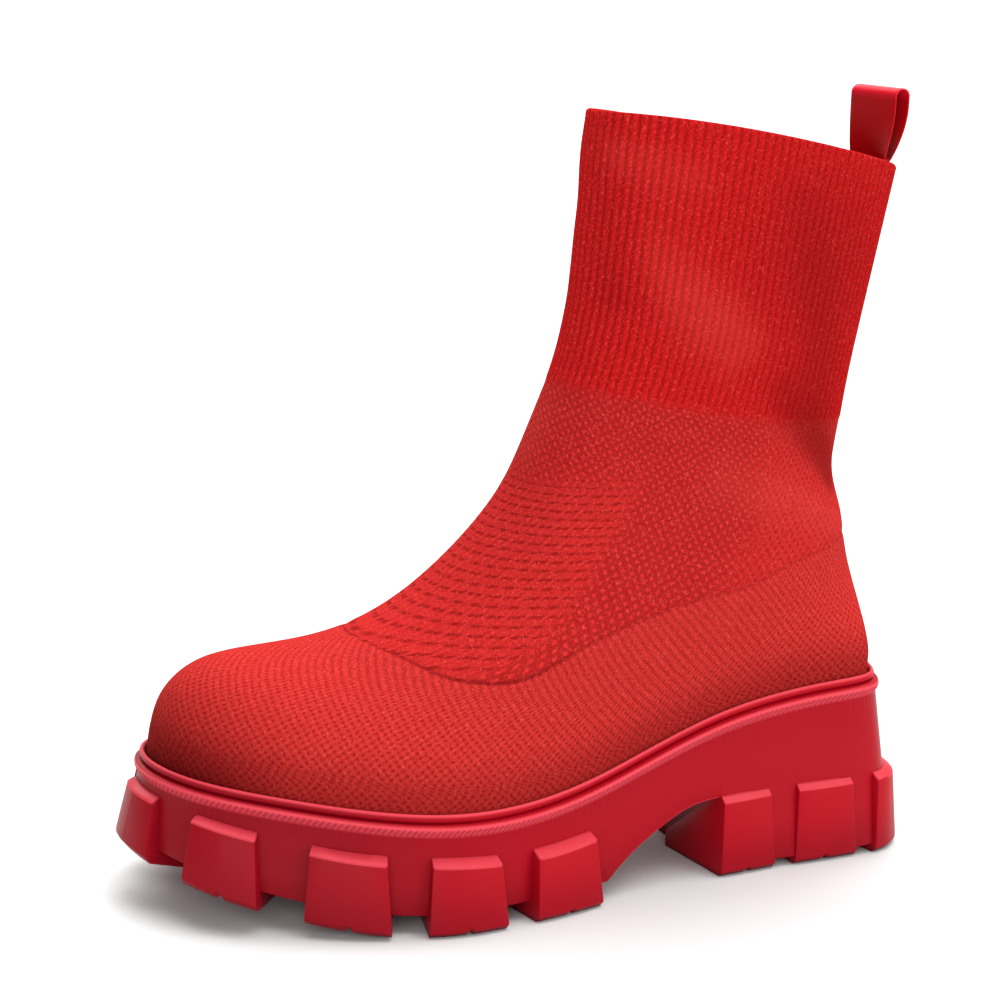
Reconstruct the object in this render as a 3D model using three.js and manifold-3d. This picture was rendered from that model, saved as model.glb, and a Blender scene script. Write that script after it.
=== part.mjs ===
// Knitted sock boot on a chunky lugged sole with a block heel: one left boot, standing on its sole.
// Millimetres. The toe points along -Y, the wearer's left (the outer side) is +X, and up is +Z.
// Before it is centred, x = 0 is the heel's middle line and y = 0 lies near the middle of the sole's rim.

import * as THREE from "three";
import { mergeVertices } from "three/addons/utils/BufferGeometryUtils.js";
import Module from "manifold-3d";

const wasm = await Module();
wasm.setup();

// Driving dimensions: the sole
const soleLength = 265.2; // over the bead of the rim
const ballWidth = 99.2; // over the bead of the rim, at the ball
const platformHeight = 35.8; // floor to the bead at the ball
const heelHeight = 59.4; // floor to the bead at the back of the heel
const toeLift = 9.3; // how much higher the bead is at the toe than at the ball
const toeSpring = 16; // how far the tread is off the floor at the toe
const flatEnd = -52; // where the tread leaves the floor towards the toe
const breastPlace = 55.4; // where the block heel's front face stands
const archHeight = 27.5; // floor to the underside of the arch, at the heel's front face
const archStart = 9; // where the tread begins to rise into the arch
const wallFlare = 1.8; // how far the side wall leans out on its way down
const toeFlare = 3.4; // how much further it leans out round the toe
const heelFlare = 2.9; // and down the back of the heel
const lipRise = 4.1; // the lip round the upper, above the bead
const rimWidth = 3.6; // from the outside of the bead to the inside of the lip
const recessDepth = 4.5; // from the top of the lip down to the bed that carries the upper

// Driving dimensions: the tread
const treadDepth = 6; // how far the lugs stand below the sole's own underside
const heelTreadDepth = 3; // and under the block heel
const lugWidth = 25; // along the edge, at the tread
const lugTaper = 1.6; // how much each end of a lug leans in towards its top
const lugOut = 5.4; // how far a lug stands out from the bead's line at the tread
const lugSlope = 2.4; // height of the slope at the top of a lug
const lugLedge = 0.5; // how far the slope's upper edge stands out from the side wall
const lugEdge = 2; // the cut-off edge where a lug meets the floor
const lugReach = 20; // how far a lug runs in under the sole
const lugRoot = 3; // how far a lug is sunk into the sole
const barLength = 15; // the bars of the middle tread, front to back

// Driving dimensions: the upper, insole and pull loop
const frontRise = 212.9; // the upper's edge at the toe up to the collar's front
const backRise = 178; // the upper's edge at the heel up to the collar's back
const shaftWidth = 59; // across the shaft at the collar
const wall = 2; // thickness of the knit
const clearance = 0.45; // between pieces that meet, which the flat facets narrow to about 0.3
const insoleThickness = 3;
const insoleEase = 0.4; // further in from the knit, whose inner face leans in over it
const insoleBevel = 1; // how much smaller its top is than its underside, all round
const collarCrown = 2.2; // how much higher the collar is at its sides than the line front to back
const collarSideLift = 1.4; // how much more the outer side rises and the inner side falls
const loopWidth = 21;
const ribbon = 1.1; // thickness of the pull loop's ribbon
const loopRise = 27; // above the collar's back
const loopTail = 11; // below the collar's back, sewn inside
const loopOpening = 3.6; // between the two strands at their widest
const loopEase = 0.8; // further in from the knit than other pieces, for the thread of the seam
const loopPart = 2; // above the collar's back, where the strands part
const loopTurn = 0.24; // how far the loop is twisted round, in radians
const loopLean = 0.03; // how far it leans back above the collar, per millimetre up
const loopFree = 9; // height over which it straightens from the collar's curve
const loopSwell = 0.8; // how soon the strands part: 1 is a plain sine, less is sooner

// How finely the curves are cut
const soleStations = 48;
const upperAround = 52;
const upperRings = 30;
const lugSteps = 3;
const loopSteps = 4;
const splineSweeps = 80;
const solveHalvings = 40;
const weld = 1e-4; // corners closer than this are one
const sliver = 0.1; // width of the step at the heel's front face
const nearlyRound = 0.01; // just short of the whole way round the plan
const nudge = 0.05; // step over which the plan's direction is taken
const checkpoints = 240; // places at which its turning is added up
const bendWeight = 25; // length of edge that gets as many corners as a radian of turning

// The plan of the rim's bead, from the back of the heel round by the outer side.
// along: share of the sole's length, heel positive. across: share of the ball width, outer side positive.
const soleOutline = [
  { along: 0.479, across: 0 },
  { along: 0.4735, across: 0.185 },
  { along: 0.452, across: 0.313 },
  { along: 0.377, across: 0.354 },
  { along: 0.038, across: 0.445 },
  { along: -0.196, across: 0.526 },
  { along: -0.377, across: 0.315 },
  { along: -0.471, across: 0.116 },
  { along: -0.5075, across: -0.137 },
  { along: -0.475, across: -0.395 },
  { along: -0.365, across: -0.505 },
  { along: -0.21, across: -0.484 },
  { along: 0, across: -0.35 },
  { along: 0.377, across: -0.345 },
  { along: 0.452, across: -0.308 },
  { along: 0.4735, across: -0.185 },
];
const toeRow = 8;

// How high the bead runs: shares of the rise to the heel and of the lift at the toe.
const beadLine = [
  { along: -0.5, heel: 0, toe: 1 },
  { along: -0.226, heel: 0, toe: 0 },
  { along: 0.019, heel: 0.118, toe: 0 },
  { along: 0.2, heel: 0.68, toe: 0 },
  { along: 0.5, heel: 1, toe: 0 },
];

// Section of the rim. out: share of the rim's width, up: share of the lip's rise above the bead.
const rimSection = [
  { out: -0.3, up: -0.85 },
  { out: -0.03, up: -0.56 },
  { out: 0, up: 0.1 },
  { out: -0.2, up: 0.36 },
  { out: -0.58, up: 0.42 },
  { out: -0.55, up: 0.78 },
  { out: -0.77, up: 1 },
  { out: -1, up: 0.86 },
];

// Underside of the arch. behind: share of the way from its start to the heel's front face,
// up: share of the arch's height above the tread's root.
const archLine = [
  { behind: 0, up: 0 },
  { behind: 0.2, up: 0.34 },
  { behind: 0.4, up: 0.6 },
  { behind: 0.74, up: 0.93 },
  { behind: 1, up: 1 },
];

// The line of the lugs' tops, as a share of the platform's height above the floor.
const lugTopLine = [
  { along: -0.5, up: 1.1 },
  { along: -0.31, up: 0.79 },
  { along: -0.17, up: 0.7 },
  { along: -0.07, up: 0.665 },
  { along: 0.01, up: 0.71 },
  { along: 0.2, up: 0.785 },
  { along: 0.5, up: 0.79 },
];

// The lugs of one side. at: share of the way round from the heel's back to the toe's tip.
// width, out and reach: shares of the lug's width, of how far it stands out and of how far it runs in.
// lean: share of its standing out that it has already just under its top slope.
// The first and last stand on the middle line and are shared by both sides.
const lugPlaces = [
  { name: "back", at: 0, width: 0.9, out: 1.4, reach: 0.8, lean: 0.65 },
  { name: "heel corner", at: 0.088, width: 0.94, out: 1.4, reach: 0.55, lean: 0.65 },
  { name: "heel side", at: 0.179, width: 0.92, out: 1.1, reach: 0.8, lean: 0.65 },
  { name: "heel front", at: 0.274, width: 0.9, out: 1, reach: 1.55, lean: 0.65 },
  { name: "waist", at: 0.513, width: 1.05, out: 1.1, reach: 1, lean: 0.65 },
  { name: "ball back", at: 0.629, width: 1.06, out: 1.05, reach: 1, lean: 0.65 },
  { name: "ball front", at: 0.75, width: 1.1, out: 1.15, reach: 1, lean: 0.65 },
  { name: "toe side", at: 0.877, width: 0.98, out: 1.35, reach: 1, lean: 0.5 },
  { name: "toe", at: 1, width: 1.04, out: 1.22, reach: 0.9, lean: 0.42 },
];

// The bars of the middle tread. along: share of the sole's length, half: share of the ball width.
const treadBars = [
  { along: -0.34, half: 0.13 },
  { along: -0.225, half: 0.22 },
  { along: -0.115, half: 0.22 },
  { along: 0.28, half: 0.11 },
  { along: 0.385, half: 0.11 },
];

// The upper's sections from its lower edge to the collar, each a ring from the front ridge to the back.
// frontIn and backIn: how far in from the edge's toe and heel, as shares of the sole's length.
// frontUp and backUp: how far up, as shares of the front and back rise.
// half: half the width as a share of the shaft's, full: how square the ring's plan is, both for the leg part.
const sections = [
  { frontIn: 0, frontUp: 0, backIn: 0, backUp: 0, half: 0.6, full: 4.2 },
  { frontIn: 0.008, frontUp: 0.064, backIn: 0.0005, backUp: 0.033, half: 0.6, full: 4.2 },
  { frontIn: 0.0175, frontUp: 0.11, backIn: -0.0005, backUp: 0.058, half: 0.6, full: 4.2 },
  { frontIn: 0.0365, frontUp: 0.142, backIn: -0.001, backUp: 0.086, half: 0.59, full: 4.1 },
  { frontIn: 0.078, frontUp: 0.17, backIn: -0.0005, backUp: 0.12, half: 0.58, full: 4 },
  { frontIn: 0.146, frontUp: 0.1805, backIn: 0.0015, backUp: 0.16, half: 0.57, full: 3.8 },
  { frontIn: 0.229, frontUp: 0.19, backIn: 0.006, backUp: 0.208, half: 0.555, full: 3.5 },
  { frontIn: 0.306, frontUp: 0.223, backIn: 0.015, backUp: 0.271, half: 0.54, full: 3.1 },
  { frontIn: 0.378, frontUp: 0.291, backIn: 0.024, backUp: 0.347, half: 0.525, full: 2.7 },
  { frontIn: 0.4525, frontUp: 0.399, backIn: 0.03, backUp: 0.436, half: 0.51, full: 2.4 },
  { frontIn: 0.4945, frontUp: 0.507, backIn: 0.0265, backUp: 0.52, half: 0.5, full: 2.25 },
  { frontIn: 0.532, frontUp: 0.637, backIn: 0.012, backUp: 0.637, half: 0.495, full: 2.2 },
  { frontIn: 0.549, frontUp: 0.787, backIn: -0.011, backUp: 0.79, half: 0.495, full: 2.2 },
  { frontIn: 0.5665, frontUp: 1.008, backIn: -0.0435, backUp: 1, half: 0.5, full: 2.2 },
];

// How far the front ridge lies from the middle line. across: share of the ball width.
const ridgeLine = [
  { along: -0.5, across: -0.135 },
  { along: -0.3, across: -0.1 },
  { along: -0.12, across: -0.06 },
  { along: 0.09, across: 0 },
];
const footFull = 2.3; // how square the foot's cross-sections are
const ridgeDraw = 1.5; // how late a cross-section's middle moves over to the ridge
const heelHold = 3; // how close to the heel the foot's plan is drawn in with the back line

// How the rings change from foot to leg, counted in sections
const lowSections = 9; // over these the rings take up the S of the lower edge
const legStartFront = 7; // where the leg begins at the front ridge
const legStartBack = 1.5; // and at the back
const legStartTurn = 0.7; // how soon round the ring its start comes down from front to back
const legBlend = 5; // over these the foot becomes the leg
const crownSections = 4; // over these, below the collar, its crown begins
const crownPlace = 0.8; // under 1 the crown's top lies in front of the middle

// Slopes of a smooth line through knots: a cubic spline with free ends, or one that closes on itself.
function splineSlopes(x, y, closed) {
  const n = closed ? x.length - 1 : x.length;
  const at = (i) => (closed ? (i + n) % n : i);
  const step = (i) => x[at(i) + 1] - x[at(i)];
  const rise = (i) => (y[at(i) + 1] - y[at(i)]) / step(i);
  const m = new Array(n).fill(0);
  for (let sweep = 0; sweep < splineSweeps; sweep++) {
    for (let i = 0; i < n; i++) {
      if (!closed && i === 0) {
        m[i] = (3 * rise(0) - m[1]) / 2;
      } else if (!closed && i === n - 1) {
        m[i] = (3 * rise(n - 2) - m[n - 2]) / 2;
      } else {
        const before = step(i - 1);
        const after = step(i);
        const pull = 3 * (after * rise(i - 1) + before * rise(i));
        m[i] = (pull - after * m[at(i - 1)] - before * m[at(i + 1)]) / (2 * (before + after));
      }
    }
  }
  return closed ? [...m, m[0]] : m;
}

// A function through knots (x, y), going on straight past its ends.
function smoothLine(x, y, closed = false) {
  const m = splineSlopes(x, y, closed);
  const last = x.length - 1;
  return (value) => {
    if (value <= x[0]) return y[0] + m[0] * (value - x[0]);
    if (value >= x[last]) return y[last] + m[last] * (value - x[last]);
    let i = 0;
    while (value > x[i + 1]) i++;
    const h = x[i + 1] - x[i];
    const t = (value - x[i]) / h;
    const start = (1 + 2 * t) * (1 - t) ** 2 * y[i] + t * (1 - t) ** 2 * h * m[i];
    const end = t * t * (3 - 2 * t) * y[i + 1] + t * t * (t - 1) * h * m[i + 1];
    return start + end;
  };
}

const column = (rows, name, scale = 1) => rows.map((row) => row[name] * scale);
const tableLine = (rows, from, to, fromScale, toScale) =>
  smoothLine(column(rows, from, fromScale), column(rows, to, toScale));
const mix = (a, b, t) => a + (b - a) * t;
const clamp01 = (t) => Math.min(1, Math.max(0, t));
const smooth = (t) => clamp01(t) ** 2 * (3 - 2 * clamp01(t));

// The place in a rising or falling function where it takes a value.
function solve(f, from, to, value) {
  const rising = f(to) > f(from);
  let a = from;
  let b = to;
  for (let i = 0; i < solveHalvings; i++) {
    const middle = (a + b) / 2;
    if (f(middle) > value === rising) b = middle;
    else a = middle;
  }
  return (a + b) / 2;
}

// The bead's plan as a closed smooth curve, by distance round it.
const planX = [...column(soleOutline, "across", ballWidth), soleOutline[0].across * ballWidth];
const planY = [...column(soleOutline, "along", soleLength), soleOutline[0].along * soleLength];
const planAt = [0];
for (let i = 1; i < planX.length; i++) {
  planAt.push(planAt[i - 1] + Math.hypot(planX[i] - planX[i - 1], planY[i] - planY[i - 1]));
}
const xRound = smoothLine(planAt, planX, true);
const yRound = smoothLine(planAt, planY, true);
const toeAt = planAt[toeRow];
const roundLength = planAt[planAt.length - 1];
const planTurn = (at) => {
  const t = (at + roundLength) % roundLength;
  const before = (t - nudge + roundLength) % roundLength;
  const after = (t + nudge) % roundLength;
  return { x: xRound(after) - xRound(before), y: yRound(after) - yRound(before) };
};

// A point of the plan at a distance round it, moved out along its normal.
function planPoint(at, out) {
  const t = (at + roundLength) % roundLength;
  const turn = planTurn(at);
  const length = Math.hypot(turn.x, turn.y);
  return { x: xRound(t) - (turn.y / length) * out, y: yRound(t) + (turn.x / length) * out };
}

// How much of the plan lies before each of its checkpoints, where turning counts as well as length
const measured = [0];
for (let i = 1; i <= checkpoints; i++) {
  const before = planTurn(((i - 1) * roundLength) / checkpoints);
  const after = planTurn((i * roundLength) / checkpoints);
  const angle = Math.atan2(before.x * after.y - before.y * after.x, before.x * after.x + before.y * after.y);
  measured.push(measured[i - 1] + roundLength / checkpoints + bendWeight * Math.abs(angle));
}
const measure = (at) => {
  const place = clamp01(at / roundLength) * checkpoints;
  const i = Math.min(checkpoints - 1, Math.floor(place));
  return mix(measured[i], measured[i + 1], place - i);
};

// A distance round the plan between two others, by their share of that measure
const between = (from, to, share) => {
  if (share === 0 || share === 1) return mix(from, to, share);
  return solve(measure, from, to, mix(measure(from), measure(to), share));
};

// Heights along the boot
const heelPart = tableLine(beadLine, "along", "heel", soleLength, heelHeight - platformHeight);
const toePart = tableLine(beadLine, "along", "toe", soleLength, toeLift);
const beadHeight = (y) => platformHeight + heelPart(y) + toePart(y);
const bedHeight = (y) => beadHeight(y) + lipRise - recessDepth;
const toeReach = soleLength / 2 + flatEnd;
const floorLine = (y) => toeSpring * Math.max(0, (flatEnd - y) / toeReach) ** 2;
const archLength = breastPlace - archStart;
const archRise = tableLine(archLine, "behind", "up", archLength, archHeight - treadDepth);
const toeRound = tableLine(beadLine, "along", "toe", soleLength, 1);
const heelRound = tableLine(beadLine, "along", "heel", soleLength, 1);
const lugTop = tableLine(lugTopLine, "along", "up", soleLength, platformHeight);

function underside(y, beforeBreast) {
  if (y > breastPlace && !beforeBreast) return heelTreadDepth;
  if (y > archStart) return treadDepth + archRise(y - archStart);
  return floorLine(y) + treadDepth;
}

// How far the side wall stands out from the bead's line at a height.
const wallOut = (y, z) => {
  const top = beadHeight(y) + rimSection[0].up * lipRise;
  const flare = wallFlare + toeFlare * clamp01(toeRound(y)) + heelFlare * clamp01(heelRound(y));
  return rimSection[0].out * rimWidth + (flare * Math.max(0, top - z)) / platformHeight;
};

// A solid's faces as one indexed mesh
function toMesh(points, faces) {
  let volume = 0;
  for (const [a, b, c] of faces) volume += points[a].dot(points[b].clone().cross(points[c]));
  const order = volume < 0 ? ([a, b, c]) => [a, c, b] : (face) => face;
  const geometry = new THREE.BufferGeometry();
  geometry.setAttribute("position", new THREE.Float32BufferAttribute(points.flatMap((p) => p.toArray()), 3));
  geometry.setIndex(faces.flatMap(order));
  return geometry;
}

// Strips between rings of equal length. A tube closes its last ring on its first one; otherwise both
// ends are capped by the given lists of faces.
function skin(rings, tube, capFaces = []) {
  const around = rings[0].length;
  const faces = [];
  const strips = tube ? rings.length : rings.length - 1;
  for (let i = 0; i < strips; i++) {
    const next = (i + 1) % rings.length;
    for (let j = 0; j < around; j++) {
      const k = (j + 1) % around;
      faces.push([i * around + j, i * around + k, next * around + k]);
      faces.push([i * around + j, next * around + k, next * around + j]);
    }
  }
  if (!tube) {
    const last = (rings.length - 1) * around;
    for (const [a, b, c] of capFaces) {
      faces.push([c, b, a]);
      faces.push([last + a, last + b, last + c]);
    }
  }
  return toMesh(rings.flat(), faces);
}

// A cap across a loop that runs down one side and back up the other
function acrossCap(around) {
  const faces = [];
  const half = around / 2;
  for (let i = 0; i < half; i++) {
    const otherSide = (around - i) % around;
    const otherNext = around - i - 1;
    if (i > 0) faces.push([i, i + 1, otherSide]);
    if (i + 1 < half) faces.push([otherSide, i + 1, otherNext]);
    else if (i === 0) faces.push([i, i + 1, otherNext]);
  }
  return faces;
}

const fanCap = (around) => {
  const faces = [];
  for (let i = 1; i + 1 < around; i++) faces.push([0, i, i + 1]);
  return faces;
};

function toManifold(geometry) {
  const bare = geometry.clone();
  bare.deleteAttribute("normal");
  bare.deleteAttribute("uv");
  const merged = mergeVertices(bare, weld);
  const vertProperties = new Float32Array(merged.attributes.position.array);
  const triVerts = new Uint32Array(merged.index.array);
  return new wasm.Manifold(new wasm.Mesh({ numProp: 3, vertProperties, triVerts }));
}

function fromManifold(solid) {
  const mesh = solid.getMesh();
  const geometry = new THREE.BufferGeometry();
  geometry.setAttribute("position", new THREE.Float32BufferAttribute(mesh.vertProperties, 3));
  geometry.setIndex([...mesh.triVerts]);
  return geometry;
}

// Distances round the plan for the sole's stations: down the outer side and back up the inner one,
// with a pair of stations close together at the heel's front face.
function soleRound() {
  const outerBreast = solve(yRound, 0, toeAt, breastPlace);
  const innerBreast = solve(yRound, roundLength, toeAt, breastPlace);
  const sideOf = (start, breast) => {
    const heelShare = (measure(breast) - measure(start)) / (measure(toeAt) - measure(start));
    const heelSteps = Math.round(soleStations * heelShare);
    const side = [];
    for (let i = 0; i < heelSteps; i++) side.push({ at: between(start, breast, i / heelSteps) });
    side.push({ at: breast, onBreast: true });
    side.push({ at: breast, onBreast: true, before: true });
    const footSteps = soleStations - heelSteps;
    for (let i = 1; i < footSteps; i++) side.push({ at: between(breast, toeAt, i / footSteps) });
    return side;
  };
  const outer = sideOf(0, outerBreast);
  const inner = sideOf(roundLength, innerBreast).slice(1).reverse();
  return [...outer, { at: toeAt }, ...inner];
}

// The moulded body of the sole: underside, side wall, bead, lip, recess and bed.
function soleBody() {
  const stations = soleRound();
  const loop = (out, height) =>
    stations.map((station) => {
      const p = planPoint(station.at, out);
      const y = station.onBreast ? breastPlace + (station.before ? -sliver : sliver) : p.y;
      return new THREE.Vector3(p.x, y, height(y));
    });
  const bottom = stations.map((station) => {
    const line = planPoint(station.at, 0);
    const y = station.onBreast ? breastPlace + (station.before ? -sliver : sliver) : line.y;
    const z = underside(y, station.before);
    const p = planPoint(station.at, wallOut(line.y, z));
    return new THREE.Vector3(p.x, station.onBreast ? y : p.y, z);
  });
  const rim = rimSection.map((row) => loop(row.out * rimWidth, (y) => beadHeight(y) + row.up * lipRise));
  const bed = loop(-rimWidth, bedHeight);
  return skin([bottom, ...rim, bed], false, acrossCap(stations.length));
}

// One lug: its section in the plane across the edge, carried along the edge and narrower at its top.
function lug(at, { width, out, reach, lean }) {
  const middle = planPoint(at, 0);
  const top = lugTop(middle.y);
  const foot = floorLine(middle.y);
  const depth = middle.y > breastPlace ? heelTreadDepth : treadDepth;
  const rings = [];
  for (let i = 0; i <= lugSteps; i++) {
    const share = (2 * i) / lugSteps - 1;
    const place = (side, height) => {
      const level = height(planPoint(at, side).y);
      const half = (width * lugWidth) / 2 - (lugTaper * (level - foot)) / (top - foot);
      const p = planPoint(at + share * half, side);
      return new THREE.Vector3(p.x, p.y, height(p.y));
    };
    const onWall = wallOut(middle.y, top);
    rings.push([
      place(onWall - lugRoot, lugTop),
      place(onWall + lugLedge, lugTop),
      place(mix(onWall, lugOut * out, lean), (y) => lugTop(y) - lugSlope),
      place(lugOut * out, (y) => floorLine(y) + lugEdge),
      place(lugOut * out - lugEdge, floorLine),
      place(-lugReach * reach, floorLine),
      place(-lugReach * reach, (y) => floorLine(y) + depth + lugRoot),
    ]);
  }
  return skin(rings, false, fanCap(rings[0].length));
}

// One bar of the middle tread
function treadBar(y, half) {
  const outerEdge = xRound(solve(yRound, 0, toeAt, y));
  const innerEdge = xRound(solve(yRound, roundLength, toeAt, y));
  const corner = (side, end, up) => {
    const place = y + (end * barLength) / 2;
    return new THREE.Vector3((outerEdge + innerEdge) / 2 + side * half, place, floorLine(place) + up);
  };
  const level = (up) => [corner(-1, -1, up), corner(1, -1, up), corner(1, 1, up), corner(-1, 1, up)];
  return skin([level(0), level(treadDepth + lugRoot)], false, fanCap(4));
}

function soleSolid() {
  let solid = toManifold(soleBody());
  for (const row of lugPlaces) {
    solid = solid.add(toManifold(lug(row.at * toeAt, row)));
    const shared = row.at === 0 || row.at === 1;
    if (!shared) solid = solid.add(toManifold(lug(roundLength - row.at * (roundLength - toeAt), row)));
  }
  for (const { along, half } of treadBars) {
    solid = solid.add(toManifold(treadBar(along * soleLength, half * ballWidth)));
  }
  return fromManifold(solid);
}

// The upper: where its lower edge runs, seen from above, inside the lip
const edgeOut = -rimWidth - clearance;
const edgeY = (at) => planPoint(at, edgeOut).y;
const edgeHeel = edgeY(0);
const edgeToe = edgeY(toeAt);
function edgeX(y, outer) {
  if (y >= edgeHeel) return planPoint(0, edgeOut).x;
  if (y <= edgeToe) return planPoint(toeAt, edgeOut).x;
  const at = outer ? solve(edgeY, 0, toeAt, y) : solve(edgeY, roundLength - nearlyRound, toeAt, y);
  return planPoint(at, edgeOut).x;
}

const sectionIndex = sections.map((row, i) => i);
const sectionLine = (name, scale = 1) => smoothLine(sectionIndex, column(sections, name, scale));
const frontIn = sectionLine("frontIn", soleLength);
const backIn = sectionLine("backIn", soleLength);
const frontY = (s) => edgeToe + frontIn(s);
const backY = (s) => edgeHeel - backIn(s);
const frontShare = sectionLine("frontUp");
const backShare = sectionLine("backUp");
const ringHalf = sectionLine("half", shaftWidth);
const ringFull = sectionLine("full");
const ridgeX = tableLine(ridgeLine, "along", "across", soleLength, ballWidth);
const edgeHeight = (y) => bedHeight(y) + clearance;
const frontZ = (s) => edgeHeight(edgeToe) + frontShare(s) * frontRise;
const backZ = (s) => edgeHeight(edgeHeel) + backShare(s) * backRise;
const lastSection = sections.length - 1;

// Height of the front ridge above a place along the boot, going on steeply behind the collar's front.
const ridgeStart = 1;
function ridgeHeight(y) {
  if (y <= frontY(ridgeStart)) return frontZ(ridgeStart);
  const collarFront = frontY(lastSection);
  if (y >= collarFront) return frontZ(lastSection) + ((y - collarFront) * frontRise) / shaftWidth;
  return frontZ(solve(frontY, ridgeStart, lastSection, y));
}

// A point of the upper's outer face: s counts sections up the boot, share runs from the front ridge (0)
// to the back (1), and side is +1 on the outer half and -1 on the inner one.
function upperPoint(s, share, side) {
  const y = mix(frontY(s), backY(s), share);
  const level = mix(frontZ(s), backZ(s), share);
  const edgeLevel = mix(edgeHeight(edgeToe), edgeHeight(edgeHeel), share);
  const low = 1 - smooth(s / lowSections);
  const edgePlace = mix(edgeToe, edgeHeel, share);
  const crownStart = lastSection - crownSections;
  const crown = smooth((s - crownStart) / crownSections) * (1 - (2 * share ** crownPlace - 1) ** 2);
  const z = level + (edgeHeight(edgePlace) - edgeLevel) * low + crown * (collarCrown + side * collarSideLift);

  // The foot: the plan's width at this place, rounded over towards the ridge
  const planPlace = y + backIn(s) * share ** heelHold;
  const outerX = edgeX(planPlace, true);
  const innerX = edgeX(planPlace, false);
  const base = edgeHeight(planPlace);
  const up = clamp01((z - base) / (ridgeHeight(y) - base));
  const footSquare = ((outerX - innerX) / 2) ** 2 * (1 - up ** footFull);
  const footMiddle = mix((outerX + innerX) / 2, ridgeX(y), up ** ridgeDraw);

  // The leg: a rounded ring
  const legSquare = ringHalf(s) ** 2 * (1 - Math.abs(2 * share - 1) ** ringFull(s));

  const legStart = mix(legStartFront, legStartBack, share ** legStartTurn);
  const legPart = smooth((s - legStart) / legBlend);
  const half = Math.sqrt(Math.max(0, mix(footSquare, legSquare, legPart)));
  return new THREE.Vector3(mix(footMiddle, 0, legPart) + side * half, y, z);
}

// The rings of the outer face, then the inner face a wall's thickness in, as one closed skin.
function upperSolid() {
  const places = [];
  for (let j = 0; j < upperAround; j++) {
    const outer = j < upperAround / 2;
    const at = outer
      ? between(0, toeAt, j / (upperAround / 2))
      : between(toeAt, roundLength, (j - upperAround / 2) / (upperAround / 2));
    places.push({ share: clamp01((edgeY(at) - edgeToe) / (edgeHeel - edgeToe)), side: outer ? 1 : -1 });
  }
  const outerRings = [];
  for (let i = 0; i < upperRings; i++) {
    const s = (lastSection * i) / (upperRings - 1);
    outerRings.push(places.map(({ share, side }) => upperPoint(s, share, side)));
  }
  const innerRings = outerRings.map((ring, i) =>
    ring.map((point, j) => {
      const before = ring[(j + upperAround - 1) % upperAround];
      const after = ring[(j + 1) % upperAround];
      const below = outerRings[Math.max(0, i - 1)][j];
      const above = outerRings[Math.min(upperRings - 1, i + 1)][j];
      const normal = after.clone().sub(before).cross(above.clone().sub(below));
      if (i === 0 || i === upperRings - 1) normal.z = 0;
      normal.normalize();
      return point.clone().addScaledVector(normal, wall);
    }),
  );
  return skin([...outerRings, ...innerRings.reverse()], true);
}

function insoleSolid() {
  const around = 2 * soleStations;
  const edge = edgeOut - wall - clearance - insoleEase;
  const loop = (up, inset) => {
    const ring = [];
    for (let j = 0; j < around; j++) {
      const at = j <= soleStations
        ? between(0, toeAt, j / soleStations)
        : between(toeAt, roundLength, (j - soleStations) / soleStations);
      const p = planPoint(at, inset);
      ring.push(new THREE.Vector3(p.x, p.y, bedHeight(p.y) + clearance + up));
    }
    return ring;
  };
  const rings = [loop(0, edge), loop(insoleThickness, edge - insoleBevel)];
  return skin(rings, false, acrossCap(around));
}

// The pull loop: one ribbon folded over, its two ends sewn together inside the collar's back.
// The shape is drawn across the ribbon, given its width, and then bent to lie along the collar's inside.
function pullLoopSolid() {
  const collarBack = backZ(lastSection);
  const foldRadius = loopOpening / 2 + ribbon;
  const strandFoot = collarBack + loopPart;
  const strandTop = collarBack + loopRise - foldRadius;
  const side = (inset) => {
    const points = [];
    for (let i = 0; i <= loopSteps; i++) {
      const t = i / loopSteps;
      const out = (loopOpening / 2) * Math.sin((Math.PI / 2) * t ** loopSwell) + ribbon - inset;
      points.push(new THREE.Vector2(out, mix(strandFoot, strandTop, t)));
    }
    for (let i = 1; i < loopSteps; i++) {
      const turn = (Math.PI * i) / (2 * loopSteps);
      const radius = foldRadius - inset;
      points.push(new THREE.Vector2(radius * Math.cos(turn), strandTop + radius * Math.sin(turn)));
    }
    return points;
  };
  const mirrored = (points) => points.map((p) => new THREE.Vector2(-p.x, p.y)).reverse();
  const around = (inset) => {
    const top = new THREE.Vector2(0, strandTop + foldRadius - inset);
    return [...side(inset), top, ...mirrored(side(inset))];
  };
  const tailEnd = [-ribbon, ribbon].map((x) => new THREE.Vector2(x, collarBack - loopTail));
  const shape = new THREE.Shape([...tailEnd, ...around(0)]);
  shape.holes.push(new THREE.Path(around(ribbon).slice(0, -1)));
  const flat = new THREE.ExtrudeGeometry(shape, { depth: loopWidth, steps: loopSteps, bevelEnabled: false });

  const s = lastSection;
  const lean = (backY(s) - backY(s - 1)) / (backZ(s) - backZ(s - 1));
  const ringMiddle = (frontY(s) + backY(s)) / 2;
  const inside = (w) => {
    const round = (1 - (w / (ringHalf(s) - wall)) ** 2) ** (1 / ringFull(s));
    return ringMiddle + ((backY(s) - frontY(s)) / 2 - wall) * round;
  };
  const place = flat.attributes.position;
  for (let i = 0; i < place.count; i++) {
    const w = place.getZ(i) - loopWidth / 2;
    const above = place.getY(i) - collarBack;
    const free = smooth((above - loopPart) / loopFree);
    const flatY = inside(loopWidth / 4) + w * Math.tan(loopTurn);
    const leaned = above > 0 ? loopLean * above : lean * above;
    const y = mix(inside(w), flatY, free) + leaned - clearance - loopEase - ribbon + place.getX(i);
    place.setXYZ(i, w, y, place.getY(i));
  }
  flat.deleteAttribute("normal");
  flat.deleteAttribute("uv");
  return mergeVertices(flat, weld);
}

const red = (hex, roughness) => new THREE.MeshStandardMaterial({ color: hex, roughness, metalness: 0 });

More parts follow.
